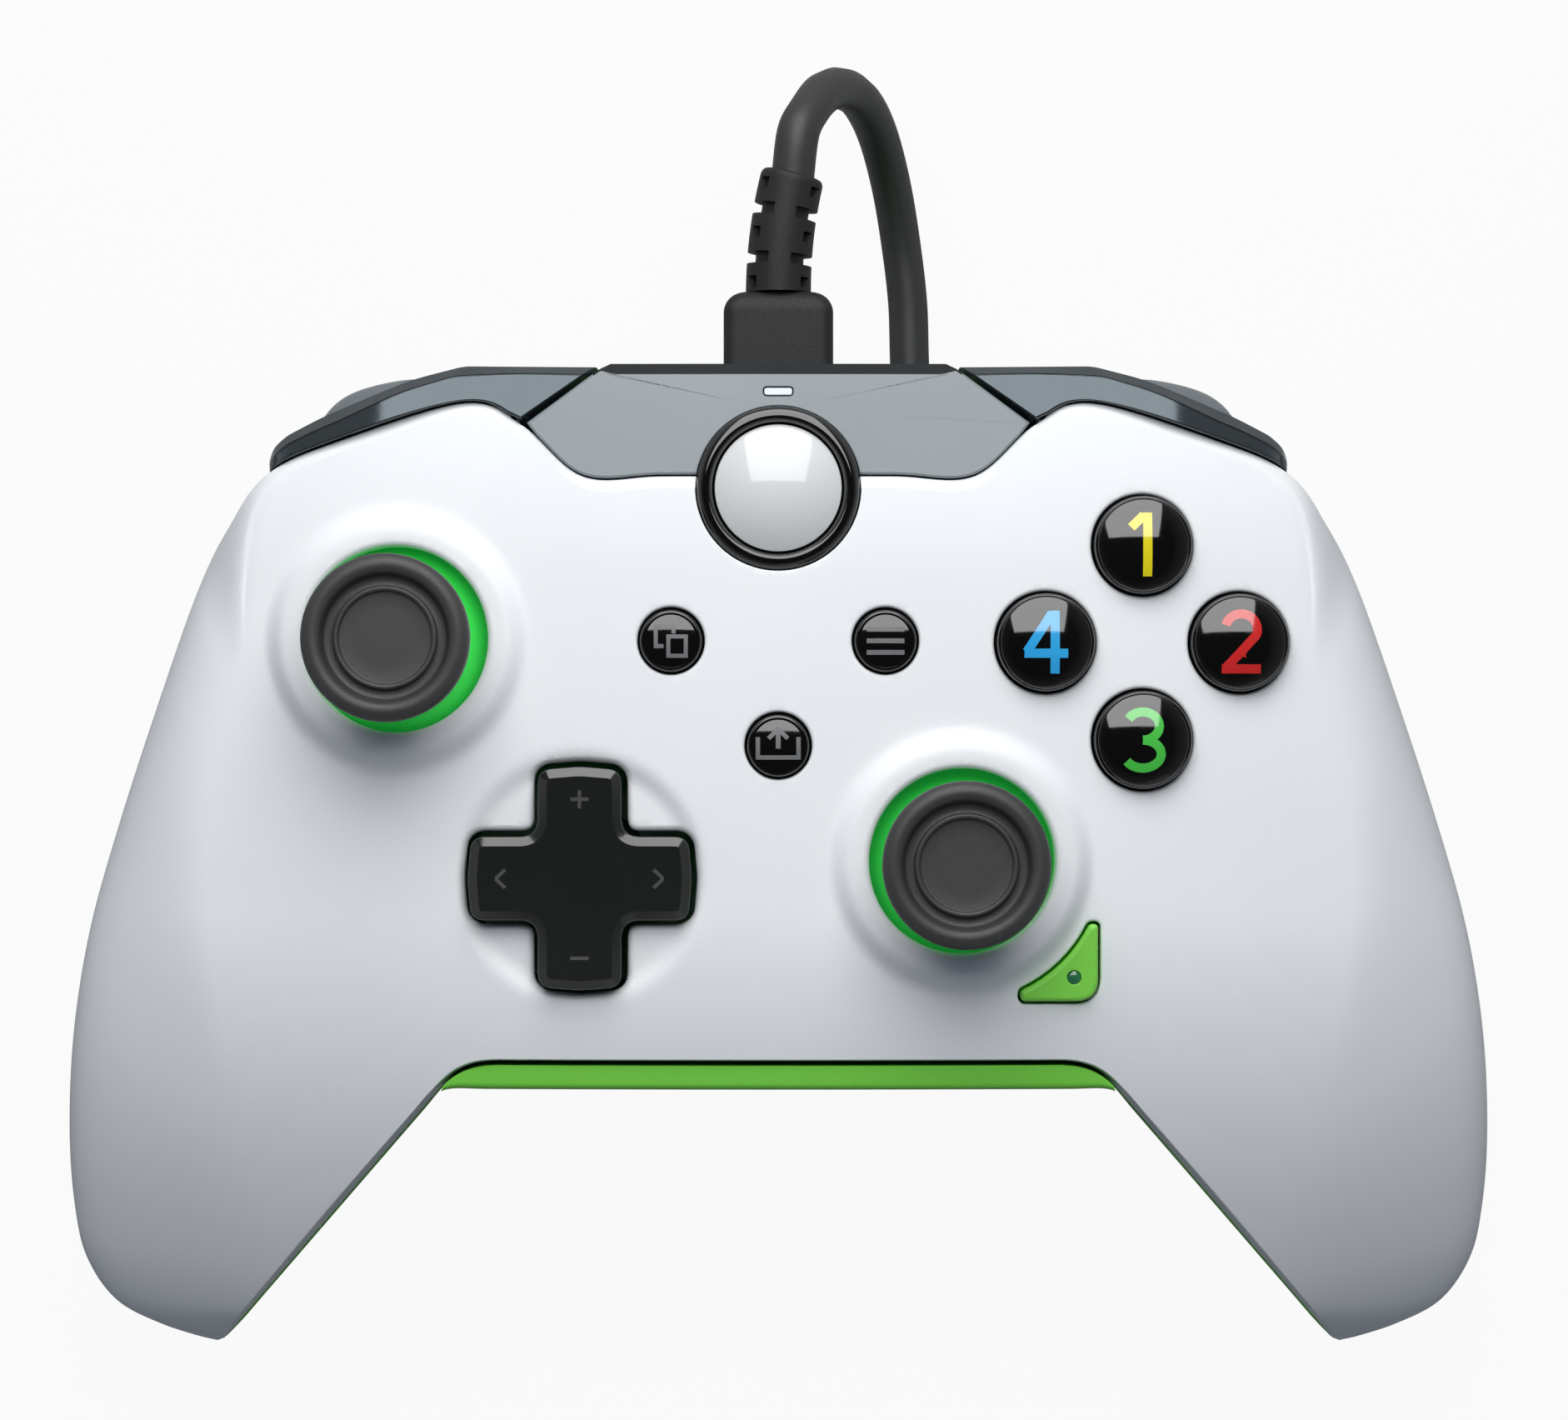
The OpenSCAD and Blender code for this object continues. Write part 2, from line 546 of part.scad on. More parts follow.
// Torsion springs sit on the trigger pins beside the lugs
spring_turns = 4;
spring_wire = 0.35;
spring_r = trigger_pin_r + 0.95;
spring_pitch = 1;
module trigger_springs() {
    start = trigger_x - trigger_w / 2 + ear_gap + lug_w + 0.7;
    turns = [for (i = [0 : spring_turns * 8]) let (a = i * 45)
        [start + spring_pitch * i / 8, trigger_y + spring_r * cos(a), trigger_z + spring_r * sin(a)]];
    color(steel) both_sides()
        sweep(turns, [1, 0, 0], spring_wire, 6, heading(turns, 0), heading(turns, len(turns) - 1));
}

// Home button in its ring
ring_low = face_h - 6.4;
module home_ring() {
    color(black) at(home_at, ring_low)
        tube(top_z(0, home_at.y) + 0.7 - ring_low, home_ring_r, home_r + fit_gap);
}
home_dome = 17;
home_travel = 0.6;
module home_button() {
    top = top_z(0, home_at.y) + 1.6;
    color(steel) {
        intersection() {
            at(home_at, ring_low + 0.6) cylinder(h = face_h, r = home_r);
            at(home_at, top - home_dome) sphere(r = home_dome);
        }
        at(home_at, switch_top + home_travel + 0.3)
            cylinder(h = ring_low + 1 - switch_top - home_travel, r = stem_r);
    }
}

// Small switches on the board, and the stems that press them
switch_w = 4;
switch_t = 1.6;
plunger_h = 0.8;
stem_r = 1.4;
switch_top = deck + switch_t + plunger_h;
switch_at = concat(small_at, [home_at, function_at]);
module tact_switches() {
    color(dark) for (p = switch_at) {
        at(p, deck + switch_t / 2) cube([switch_w, switch_w, switch_t], center = true);
        at(p, deck + switch_t - eps) cylinder(h = plunger_h, r = 0.9);
    }
}

// A round button: cap, flange under the shell, stem down to its switch
flange_t = 1.4;
module round_button(p, r, rise, low) {
    flange_top = under_face(abs(p.x) + r + 1, p.y) - fit_gap - 0.1;
    at(p, flange_top - flange_t) {
        cylinder(h = top_z(p.x, p.y) + rise - flange_top + flange_t, r = r);
        cylinder(h = flange_t, r = r + 0.9);
    }
    at(p, low) cylinder(h = flange_top - low, r = stem_r);
}
module small_button(i) {
    color(black) round_button(small_at[i], small_button_r, small_button_rise, switch_top + small_travel + 0.3);
}
module view_button() { small_button(0); }
module menu_button() { small_button(1); }
module share_button() { small_button(2); }
module face_button(i) {
    color(black) round_button(face_at[i], face_button_r, face_button_rise, pad_top + face_travel + 0.3);
}
module face_button_north() { face_button(0); }
module face_button_west() { face_button(1); }
module face_button_east() { face_button(2); }
module face_button_south() { face_button(3); }

// Rubber pads on the board under the face buttons and the direction pad
pad_t = 1.2;
pad_dome = 4.4;
pad_top = deck + pad_t + pad_dome;
pad_dome_r = 1.6;
module button_membrane() {
    color(grey) {
        at(diamond_at, deck) intersection() {
            rotate(45) linear_extrude(pad_t) rounded(2 * diamond_r + 2, 2 * diamond_r + 2, 3);
            translate([-2 * diamond_r, -2 * diamond_r, 0])
                cube([2 * diamond_r + 13, 2 * diamond_r + trigger_y - lug_r - 0.4 - diamond_at.y, pad_t]);
        }
        for (p = face_at) at(p, deck + pad_t - eps) cylinder(h = pad_dome, r = pad_dome_r);
    }
}
dpad_leg = dpad_arm - 2.4;
dpad_drop = dpad_arm * sin(5.5);
module dpad_membrane() {
    color(grey) {
        at(dpad_at, deck) tube(pad_t, dpad_leg + 3, dpad_leg - 2.2);
        for (a = [0 : 90 : 270]) at(dpad_at, deck + pad_t - eps) rotate(a)
            at([dpad_leg, 0]) cylinder(h = pad_dome, r = 1.9);
    }
}

// Direction pad on a small two-way pivot
dpad_pivot = face_h - 4.4;
dpad_top = face_h + 1.6;
dpad_low = dpad_top - dpad_t;
dpad_pin = 0.6;
hub_r = 1.9;
rocker_bore = 2.5;
rocker_r = 4;
rocker_h = 1.7;
ear_in = 4.6;
module dpad_cross() {
    color(black) at(dpad_at) {
        at([0, 0], dpad_low) linear_extrude(dpad_t) dpad_outline(0);
        for (a = [0 : 90 : 270]) rotate(a) at([dpad_leg, 0], pad_top + dpad_drop + 0.3) {
            cylinder(h = dpad_low - pad_top - dpad_drop, r = 1.5);
        }
        at([0, 0], dpad_pivot - 1) cylinder(h = dpad_low - dpad_pivot + 1.2, r = hub_r);
        along_y([0, -rocker_r + 0.3, dpad_pivot], 2 * rocker_r - 0.6, dpad_pin);
    }
}
module dpad_rocker() {
    color(steel) at(dpad_at) difference() {
        union() {
            at([0, 0], dpad_pivot - rocker_h / 2) tube(rocker_h, rocker_r, rocker_bore);
            for (x = [rocker_bore + 0.5, -ear_in - 1.2])
                along_x([x, 0, dpad_pivot], ear_in + 0.7 - rocker_bore, dpad_pin);
        }
        along_y([0, -rocker_r - 1, dpad_pivot], 2 * rocker_r + 2, dpad_pin + pin_clear);
    }
}
module dpad_base() {
    color(dark) at(dpad_at) difference() {
        union() {
            at([0, 0], deck) cylinder(h = dpad_pivot - 2.4 - deck, r = 6.2);
            for (x = [ear_in, -ear_in - 1.4]) translate([x, -1.5, dpad_pivot - 3]) cube([1.4, 3, 4.1]);
        }
        along_x([-10, 0, dpad_pivot], 20, dpad_pin + pin_clear);
    }
}

// Function button with its light
function_travel = 0.6;
function_light_r = 0.7;
function_light_at = function_corner + [-2.5, 2.5];
function_rise = 0.8;
module function_button() {
    top = top_z(function_at.x, function_at.y) + function_rise;
    flange_top = under_face(function_corner.x, function_corner.y) - fit_gap - 0.2;
    color(green) difference() {
        union() {
            at([0, 0], flange_top - flange_t) linear_extrude(top - flange_top + flange_t) function_outline(0);
            at([0, 0], flange_top - flange_t) linear_extrude(flange_t) function_outline(0.9);
            at(function_at, switch_top + function_travel + 0.3)
                cylinder(h = flange_top - switch_top - function_travel - 0.4, r = stem_r);
        }
        at(function_light_at, top - light_t) cylinder(h = light_t + 1, r = function_light_r);
    }
}
module function_light() {
    top = top_z(function_at.x, function_at.y) + function_rise;
    color(white) at(function_light_at, top - light_t) cylinder(h = light_t - 0.1, r = function_light_r);
}

// Thumb stick: housing on the board, yoke, shaft, then the cap with its dome
pivot = deck + stick_pivot_h;
house_half = 6;
house_wall = 1.2;
house_h = 9;
yoke_r = 4.3;
yoke_bore = 2.9;
yoke_h = 2.2;
yoke_pin = 0.9;
stick_hub_r = 2.2;
shaft_r = 1.6;
cap_low = face_h + cap_rise;
cap_top = cap_low + cap_t;
shaft_top = cap_low - 1;
skirt_r = face_h - pivot - 0.2;
skirt_t = 1;
skirt_cut = 3.9;
module stick_housing(p) {
    color(dark) at(p) difference() {
        translate([-house_half, -house_half, deck]) cube([2 * house_half, 2 * house_half, house_h]);
        translate([house_wall - house_half, house_wall - house_half, deck + 1])
            cube([2 * (house_half - house_wall), 2 * (house_half - house_wall), house_h]);
        along_x([-house_half - 1, 0, pivot], 2 * house_half + 2, yoke_pin + pin_clear);
    }
}
module left_stick_housing() { stick_housing(stick_at[0]); }
module right_stick_housing() { stick_housing(stick_at[1]); }
sensor_t = 2.2;
module stick_sensors() {
    color(green) for (p = stick_at) at(p) {
        translate([house_half + 0.2, -4, deck]) cube([sensor_t, 8, stick_pivot_h + 2.4]);
        translate([-4, house_half + 0.2, deck]) cube([8, sensor_t, stick_pivot_h + 2.4]);
    }
}
module stick_yoke(p) {
    color(steel) at(p) difference() {
        union() {
            at([0, 0], pivot - yoke_h / 2) tube(yoke_h, yoke_r, yoke_bore);
            for (x = [yoke_bore + 0.6, 0.1 - house_half])
                along_x([x, 0, pivot], house_half - yoke_bore - 0.7, yoke_pin);
        }
        along_y([0, -yoke_r - 1, pivot], 2 * yoke_r + 2, yoke_pin + pin_clear);
    }
}
module left_stick_yoke() { stick_yoke(stick_at[0]); }
module right_stick_yoke() { stick_yoke(stick_at[1]); }
module stick_shaft(p) {
    color(steel) at(p) {
        at([0, 0], pivot - 1.4) cylinder(h = 2.8, r = stick_hub_r);
        along_y([0, -yoke_r + 0.2, pivot], 2 * yoke_r - 0.4, yoke_pin);
        at([0, 0], pivot) cylinder(h = shaft_top - pivot, r = shaft_r);
    }
}
module left_stick_shaft() { stick_shaft(stick_at[0]); }
module right_stick_shaft() { stick_shaft(stick_at[1]); }

// The cap's top: thick round rim, valley, thin raised ring and a sunken disc
rim_r = 2.4;
disc_r = 4.5;
bead_r = 0.45;
valley = 1.3;
module cap_profile() {
    difference() {
        union() {
            translate([0, cap_low + 0.6]) square([cap_r - 1.2, cap_t - valley - 0.6]);
            translate([0, cap_low]) square([cap_r - 2.4, 1]);
            translate([cap_r - rim_r, cap_top - rim_r]) circle(r = rim_r);
            translate([cap_r - rim_r, cap_low + rim_r * 0.75]) circle(r = rim_r * 0.75);
            translate([disc_r + bead_r, cap_top - valley]) circle(r = bead_r);
            translate([0, neck_low]) square([neck_r, cap_low - neck_low + 1]);
        }
        translate([0, neck_low - 1])
            square([shaft_r + pin_clear, shaft_top + stick_click + 0.2 - neck_low + 1]);
        translate([-cap_r, 0]) square([cap_r, 2 * cap_top]);
    }
}
neck_low = pivot + skirt_r - 3.4;
module stick_cap(p) { color(black) at(p) rotate_extrude() cap_profile(); }
module left_stick_cap() { stick_cap(stick_at[0]); }
module right_stick_cap() { stick_cap(stick_at[1]); }
module stick_skirt(p) {
    color(green) at(p, pivot) rotate_extrude() difference() {
        circle(r = skirt_r);
        circle(r = skirt_r - skirt_t);
        translate([-2 * skirt_r, -skirt_r]) square([2 * skirt_r + neck_r + 0.05, 3 * skirt_r]);
        translate([0, -2 * skirt_r]) square([2 * skirt_r, 2 * skirt_r + skirt_cut]);
    }
}
module left_stick_skirt() { stick_skirt(stick_at[0]); }
module right_stick_skirt() { stick_skirt(stick_at[1]); }

// Main board with room for the shell bosses, and its screws
board_screw_r = 0.9;
board_head_r = 2;
board_screw_l = 5.6;
board_plan = plan([[-51, 35.8], [-14, 35.8], [-14, 46], [14, 46], [14, 35.8], [51, 35.8], [51, 6], [38, -16.5],
    [-38, -16.5], [-51, 6]]);
module main_board() {
    color([0.1, 0.35, 0.2]) difference() {
        at([0, 0], board_z) linear_extrude(board_t) polygon(board_plan);
        for (p = boss_at) at(p, board_z - 1) cylinder(h = board_t + 2, r = boss_r + fit_gap + 0.2);
        for (p = post_at) at(p, board_z - 1) cylinder(h = board_t + 2, r = board_screw_r + pin_clear);
    }
}
module board_screws() {
    color(steel) for (p = post_at) {
        at(p, deck - board_screw_l) cylinder(h = board_screw_l + 0.5, r = board_screw_r);
        at(p, deck) cylinder(h = 1, r = board_head_r);
    }
}
module shell_screws() {
    color(steel) for (p = boss_at) {
        at(p, belly_h + 0.1) cylinder(h = screw_head_t, r = screw_head_r);
        at(p, belly_h + 0.2) cylinder(h = screw_grip + wall - 1.2, r = screw_r);
    }
}

// Sockets
socket_w = 8;
socket_h = 3.4;
socket_y = home_at.y + switch_w / 2 + 0.7;
tongue_w = 6.9;
tongue_h = 1.9;
socket_end = rear_y - 1.8;
module usb_socket() {
    color(steel) difference() {
        translate([-socket_w / 2, socket_y, deck]) cube([socket_w, socket_end - socket_y, socket_h]);
        translate([-tongue_w / 2 - 0.1, socket_y + 1, port_z - tongue_h / 2 - 0.1])
            cube([tongue_w + 0.2, rear_y, tongue_h + 0.2]);
    }
}
module headset_jack() {
    nose = jack_front - front_y + strip_w - 0.9;
    color(black) difference() {
        union() {
            translate([-jack_half, jack_front, floor_z + 0.05]) cube([2 * jack_half, jack_l, jack_body]);
            along_y([0, jack_front - nose, jack_z], nose + 1, jack_nose_r - 0.1);
        }
        along_y([0, jack_front - nose - 1, jack_z], nose + jack_l, jack_r);
    }
}

// Rumble motors stand in the grips, with a half disc of metal on each shaft
motor_at = spot([59, -20]);
motor_low = wall + 0.4;
weight_gap = 1.2;
weight_h = 6;
motor_shaft_r = 1;
module motor_right() {
    at(motor_at, motor_low) {
        cylinder(h = motor_h, r = motor_r);
        cylinder(h = motor_h + weight_gap + weight_h + 1, r = motor_shaft_r);
    }
}
module weight_right() {
    at(motor_at, motor_low + motor_h + weight_gap) difference() {
        union() {
            difference() {
                cylinder(h = weight_h, r = motor_r - 0.8);
                translate([-motor_r, 0, -1]) cube([2 * motor_r, motor_r, weight_h + 2]);
            }
            cylinder(h = weight_h, r = motor_shaft_r + 1.2);
        }
        at([0, 0], -1) cylinder(h = weight_h + 2, r = motor_shaft_r + pin_clear);
    }
}
module left_rumble_motor() { color(steel) mirror([1, 0, 0]) motor_right(); }
module right_rumble_motor() { color(steel) motor_right(); }
module left_rumble_weight() { color(grey) mirror([1, 0, 0]) weight_right(); }
module right_rumble_weight() { color(grey) weight_right(); }

// Cable plug, strain relief and cord
plug_h = 7.4;
plug_round = 2.3;
plug_gap = 0.3;
plug_end = rear_y + plug_gap + plug_l;
module cable_plug() {
    color(dark) {
        at([0, 0], port_z - plug_h / 2) linear_extrude(plug_h) difference() {
            translate([0, rear_y + plug_gap + plug_l / 2]) rounded(plug_w, plug_l, plug_round);
            translate([-plug_w, plug_end]) square([2 * plug_w, plug_l]);
        }
        translate([-tongue_w / 2, socket_y + 2, port_z - tongue_h / 2])
            cube([tongue_w, plug_end - socket_y - 4, tongue_h]);
    }
}
relief_turn = -7;
relief_slots = 5;
relief_tip_r = 3.3;
slot_w = 0.9;
slot_depth = 0.7;
module strain_relief() {
    step = relief_l / (relief_slots + 0.6);
    relief_low = relief_r * abs(tan(relief_turn)) + 0.1;
    color(dark) translate([0, plug_end, port_z]) rotate([-90, 0, relief_turn]) rotate_extrude() difference() {
        polygon([[0, relief_low], [relief_r, relief_low], [relief_tip_r, relief_l], [0, relief_l]]);
        for (i = [1 : relief_slots])
            translate([mix(relief_r, relief_tip_r, i * step / relief_l) - slot_depth, i * step - slot_w / 2])
                square([relief_r, slot_w]);
    }
}
relief_way = [sin(-relief_turn), cos(relief_turn), 0];
cord_start = [0, plug_end, port_z] + relief_way * relief_l;
coil_at = [-8, 14];
coil_r = 31;
coil_turns = 3.0625;
coil_dip = 0.8;
// The lead loops down behind the case to the table, then runs under the case into the coil
lead_loop = [[1.7, 7.2, 0.93], [3.3, 9.7, 0.8], [5.3, 11, 0.63], [7.5, 10.5, 0.45], [9.5, 7.7, 0.27],
    [11.2, 2.4, 0.12], [12.4, -4, 0.03], [13.2, -10.6, 0.004], [13.4, -16.8, 0], [13.6, -22.8, 0]];
lead_run = [[23.5, 30.5], [24.6, 23.5], [28.2, 16], [30.7, 8], [coil_r, cord_d], [coil_r, 0]];
lead_points = concat([cord_start, cord_start + relief_way * cord_d],
    [for (p = lead_loop) [cord_start.x + p.x, cord_start.y + p.y, mix(cord_z, port_z, p.z)]],
    [for (p = lead_run) [coil_at.x + p.x, coil_at.y + p.y, cord_z]]);
module cord_lead() {
    color(dark) sweep(smooth(lead_points, 2), [1, 0.2, 0], cord_r, 8, relief_way, [0, -1, 0]);
}

// The coil spirals in and out, layer on layer, and climbs in the half turn where it reverses
layer_turns = coil_turns + 0.5;
coil_total = coil_layers * layer_turns - 0.5;
function coil_radius(layer, f) = let (s = min(1, f / coil_turns), c = max(0, f - coil_turns) / 0.5,
    inward = layer % 2 == 0, r = coil_r - coil_pitch * coil_turns * (inward ? s : 1 - s))
    r + (inward ? -1 : 1) * coil_dip * sin(180 * c);
function coil_point(t) = let (layer = min(coil_layers - 1, floor(t / layer_turns)), f = t - layer * layer_turns,
    r = coil_radius(layer, f), up = layer < coil_layers - 1 ? ease(0, 0.5, f - coil_turns) : 0)
    [coil_at.x + r * cos(360 * t), coil_at.y - r * sin(360 * t), cord_z + coil_pitch * (layer + up)];
coil_rings = 24;
coil_steps = round(coil_total * coil_rings);
coil_points = [for (i = [0 : coil_steps]) coil_point(coil_total * i / coil_steps)];
coil_end = coil_points[coil_steps];
module cord_coil() { color(dark) sweep(coil_points, [0, 0, 1], cord_r, 6, [0, -1, 0], [1, 0, 0]); }

usb_h = 8;
usb_round = 2;
usb_x = coil_at.x + coil_r + cord_r + usb_w / 2 + 1.4;
usb_z = usb_h / 2 + 0.2;
usb_neck = 6;
usb_y = 28;
tail_end = [usb_x, usb_y + usb_neck, usb_z];
tail_run = [[13, 0.4, 0.94], [20.5, 0.6, 0.78], [27, 0.4, 0.56], [33, -0.4, 0.33], [38.2, -2.6, 0.13],
    [41.4, -5.6, 0.03]];
tail_points = concat([coil_end, coil_end + [cord_d, 0, 0]],
    [for (p = tail_run) [coil_end.x + p.x, coil_end.y + p.y, mix(usb_z, coil_end.z, p.z)]],
    [tail_end + [0, 2.4, 0], tail_end]);
module cord_tail() { color(dark) sweep(smooth(tail_points, 2), [0, 0, 1], cord_r, 8, [1, 0, 0], [0, -1, 0]); }

// A strap holds the coil together on its left side
tie_w = 6;
tie_in = coil_r - coil_pitch * coil_turns - coil_dip - cord_r - 0.4;
tie_out = coil_r + cord_r + 0.4;
module cord_tie() {
    color(black) translate([coil_at.x, coil_at.y - tie_w / 2, 0]) difference() {
        translate([-tie_out - tie_t, 0, 0]) cube([tie_out - tie_in + 2 * tie_t, tie_w, tie_h + tie_t]);
        translate([-tie_out, -1, tie_t]) cube([tie_out - tie_in, tie_w + 2, tie_h - tie_t]);
    }
}
module usb_plug() {
    color(dark) {
        translate([usb_x, usb_y, usb_z]) rotate([90, 0, 0])
            linear_extrude(usb_l) rounded(usb_w, usb_h, usb_round);
        translate([usb_x, usb_y + usb_neck, usb_z]) rotate([90, 0, 0])
            cylinder(h = usb_neck + 1, r1 = cord_r + 0.3, r2 = usb_h / 2 - 0.4);
    }
}
shell_w = 12;
shell_h = 4.5;
shell_l = 12;
module usb_plug_shell() {
    color(steel) translate([usb_x, usb_y - usb_l, usb_z]) difference() {
        translate([-shell_w / 2, -shell_l, -shell_h / 2]) cube([shell_w, shell_l, shell_h]);
        translate([-shell_w / 2 + 0.4, -shell_l - 1, -shell_h / 2 + 0.4])
            cube([shell_w - 0.8, shell_l - 1, shell_h / 2 - 0.4]);
    }
}

// Least gap between turns of the coil, on its points
function clear_of(i) =
    min([for (j = [i + coil_rings / 2 : 1 : coil_steps]) norm(coil_points[i] - coil_points[j])]);
coil_least = min([for (i = [0 : coil_steps - coil_rings / 2]) clear_of(i)]) - cord_d;
echo(coil_least_gap = coil_least);

front_shell();
back_shell();
bridge();
status_light();
left_bumper();
right_bumper();
bumper_pins();
left_trigger();
right_trigger();
trigger_brackets();
trigger_pins();
trigger_springs();
home_ring();
home_button();
view_button();
menu_button();
share_button();
face_button_north();
face_button_west();
face_button_east();
face_button_south();
button_membrane();
tact_switches();
dpad_cross();
dpad_rocker();
dpad_base();
dpad_membrane();
function_button();
function_light();
left_stick_housing();
right_stick_housing();
stick_sensors();
left_stick_yoke();
right_stick_yoke();
left_stick_shaft();
right_stick_shaft();
left_stick_cap();
right_stick_cap();
left_stick_skirt();
right_stick_skirt();
main_board();
board_screws();
shell_screws();
usb_socket();
headset_jack();
left_rumble_motor();
right_rumble_motor();
left_rumble_weight();
right_rumble_weight();
cable_plug();
strain_relief();
cord_lead();
cord_coil();
cord_tail();
cord_tie();
usb_plug();
usb_plug_shell();
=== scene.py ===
import math

import bmesh
import bpy
import numpy as np
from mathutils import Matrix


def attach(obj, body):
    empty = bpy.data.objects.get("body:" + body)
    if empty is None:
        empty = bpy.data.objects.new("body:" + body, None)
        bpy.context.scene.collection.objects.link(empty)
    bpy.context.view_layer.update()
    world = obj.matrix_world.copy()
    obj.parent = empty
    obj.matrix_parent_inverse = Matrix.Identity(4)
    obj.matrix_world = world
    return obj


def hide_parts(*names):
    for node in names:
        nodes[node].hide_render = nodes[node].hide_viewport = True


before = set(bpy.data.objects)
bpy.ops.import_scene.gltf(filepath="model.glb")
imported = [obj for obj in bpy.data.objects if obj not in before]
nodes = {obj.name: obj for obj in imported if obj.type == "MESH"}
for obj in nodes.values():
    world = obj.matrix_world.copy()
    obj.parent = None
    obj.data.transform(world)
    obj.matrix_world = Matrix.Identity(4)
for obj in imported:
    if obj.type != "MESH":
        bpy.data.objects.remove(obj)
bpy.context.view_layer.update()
scene = bpy.context.scene
scene.view_settings.view_transform = "Standard"
mm = 0.001
print("frame loaded:", len(nodes), "nodes")


def place(name, data):  # an object at the origin, in the scene
    obj = bpy.data.objects.new(name, data)
    scene.collection.objects.link(obj)
    return obj


# camera straight above the face, rear edge up
shot = {"eye": (0.6, 16.5, 468.0), "lens": 93.2, "sensor": 36.0, "near": 0.005}
camData = bpy.data.cameras.new("camera")
camData.lens = shot["lens"]
camData.sensor_width = shot["sensor"]
camData.sensor_fit = "HORIZONTAL"
camData.clip_start = shot["near"]
camera = place("camera", camData)
camera.location = [c * mm for c in shot["eye"]]
scene.camera = camera


# small maths, all on whole arrays

def mix(a, b, t):  # share t of the way from a to b
    return a + (b - a) * t


def ease(a, b, t):  # smooth step from a to b
    s = np.clip((t - a) / (b - a), 0, 1)
    return s * s * (3 - 2 * s)


def roll(d, r):  # quarter circle: 0 at an edge, 1 at distance r from it
    t = 1 - np.clip(d / r, 0, 1)
    return np.sqrt(np.maximum(0, 1 - t * t))


def between(a, b, c, d, f):  # cubic from b to c at share f, with slopes (c - a) / 2 and (d - b) / 2
    return 0.5 * (2 * b + (c - a) * f + (2 * a - 5 * b + 4 * c - d) * f ** 2 + (3 * b - a - 3 * c + d) * f ** 3)


def smoothLine(points, steps):  # smooth line through points, steps between each two
    p = np.asarray(points, float)
    p = np.vstack([p[:1], p, p[-1:]])
    f = (np.arange(steps) / steps)[None, :, None]
    line = between(*(p[i:len(p) - 3 + i][:, None, :] for i in range(4)), f)
    return np.vstack([line.reshape(-1, p.shape[1]), p[-1:]])


def roundCorners(points, radii, steps=6, closed=True):  # polygon with each corner swapped for a small arc
    p = np.asarray(points, float)
    out = []
    for i in range(len(p)):
        r = radii[i] if hasattr(radii, "__len__") else radii
        if r <= 0 or (not closed and i in (0, len(p) - 1)):
            out.append(p[i:i + 1])
            continue
        b = p[i]
        u, v = p[i - 1] - b, p[(i + 1) % len(p)] - b
        longU, longV = np.linalg.norm(u), np.linalg.norm(v)
        u, v = u / longU, v / longV
        half = math.acos(float(np.clip(u @ v, -1, 1))) / 2
        cut = min(r / max(math.tan(half), 1e-6), 0.49 * longU, 0.49 * longV)
        f = np.linspace(0, 1, steps + 1)[:, None]
        out.append((1 - f) ** 2 * (b + u * cut) + 2 * f * (1 - f) * b + f * f * (b + v * cut))
    return np.vstack(out)


def lengths(p):  # distance along a line at each of its points
    return np.concatenate([[0], np.cumsum(np.linalg.norm(np.diff(p, axis=0), axis=1))])


def evenly(points, count, closed=True):  # the same line with points at equal steps
    p = np.asarray(points, float)
    if closed:
        p = np.vstack([p, p[:1]])
    s = lengths(p)
    t = np.linspace(0, s[-1], count + closed)[:count]
    return np.stack([np.interp(t, s, p[:, i]) for i in range(p.shape[1])], 1)


def outwards(outline):  # unit normals of a closed outline, away from its middle
    ahead = np.roll(outline, -1, 0)
    d = ahead - np.roll(outline, 1, 0)
    n = np.stack([d[:, 1], -d[:, 0]], 1) / np.maximum(np.linalg.norm(d, axis=1), 1e-9)[:, None]
    area = np.sum(outline[:, 0] * ahead[:, 1] - ahead[:, 0] * outline[:, 1])
    return n if area > 0 else -n


def raised(p, z):  # plan points with heights z
    return np.concatenate([p, z[..., None]], -1)


def along(start, way, d):  # points at distances d from each start, each its own way
    return start[:, None, :] + way[:, None, :] * d[..., None]


def upright(ring, y):  # (x, z) points stood up at one y
    return np.column_stack([ring[:, 0], np.full(len(ring), float(y)), ring[:, 1]])


def arcLine(cx, cy, rx, ry, a0, a1, count=22):  # from angle a0 to a1, in degrees
    t = np.radians(np.linspace(a0, a1, count))
    return np.stack([cx + rx * np.cos(t), cy + ry * np.sin(t)], 1)


def circle(r, centre, count=96):  # even points all the way round
    return arcLine(*centre, r, r, 0, 360, count + 1)[:-1]


def roundedBox(w, h, r, steps=8):  # rectangle about the origin, corners of radius r
    x, y = w / 2, h / 2
    return roundCorners([[-x, -y], [x, -y], [x, y], [-x, y]], r, steps)


# meshes from grids

def gridFaces(nu, nv, wrapU=False, wrapV=False):  # one face between each four neighbours of a grid
    i = np.arange(nu if wrapU else nu - 1)[:, None]
    j = np.arange(nv if wrapV else nv - 1)[None, :]
    a = i * nv + j
    b = ((i + 1) % nu) * nv + j
    c = ((i + 1) % nu) * nv + (j + 1) % nv
    d = i * nv + (j + 1) % nv
    return np.stack([a, b, c, d], -1).reshape(-1, 4).tolist()


def soften(obj, sharp):  # smooth, with creases where faces meet at more than sharp degrees
    obj.data.shade_smooth()
    obj.data.set_sharp_from_angle(angle=math.radians(sharp))


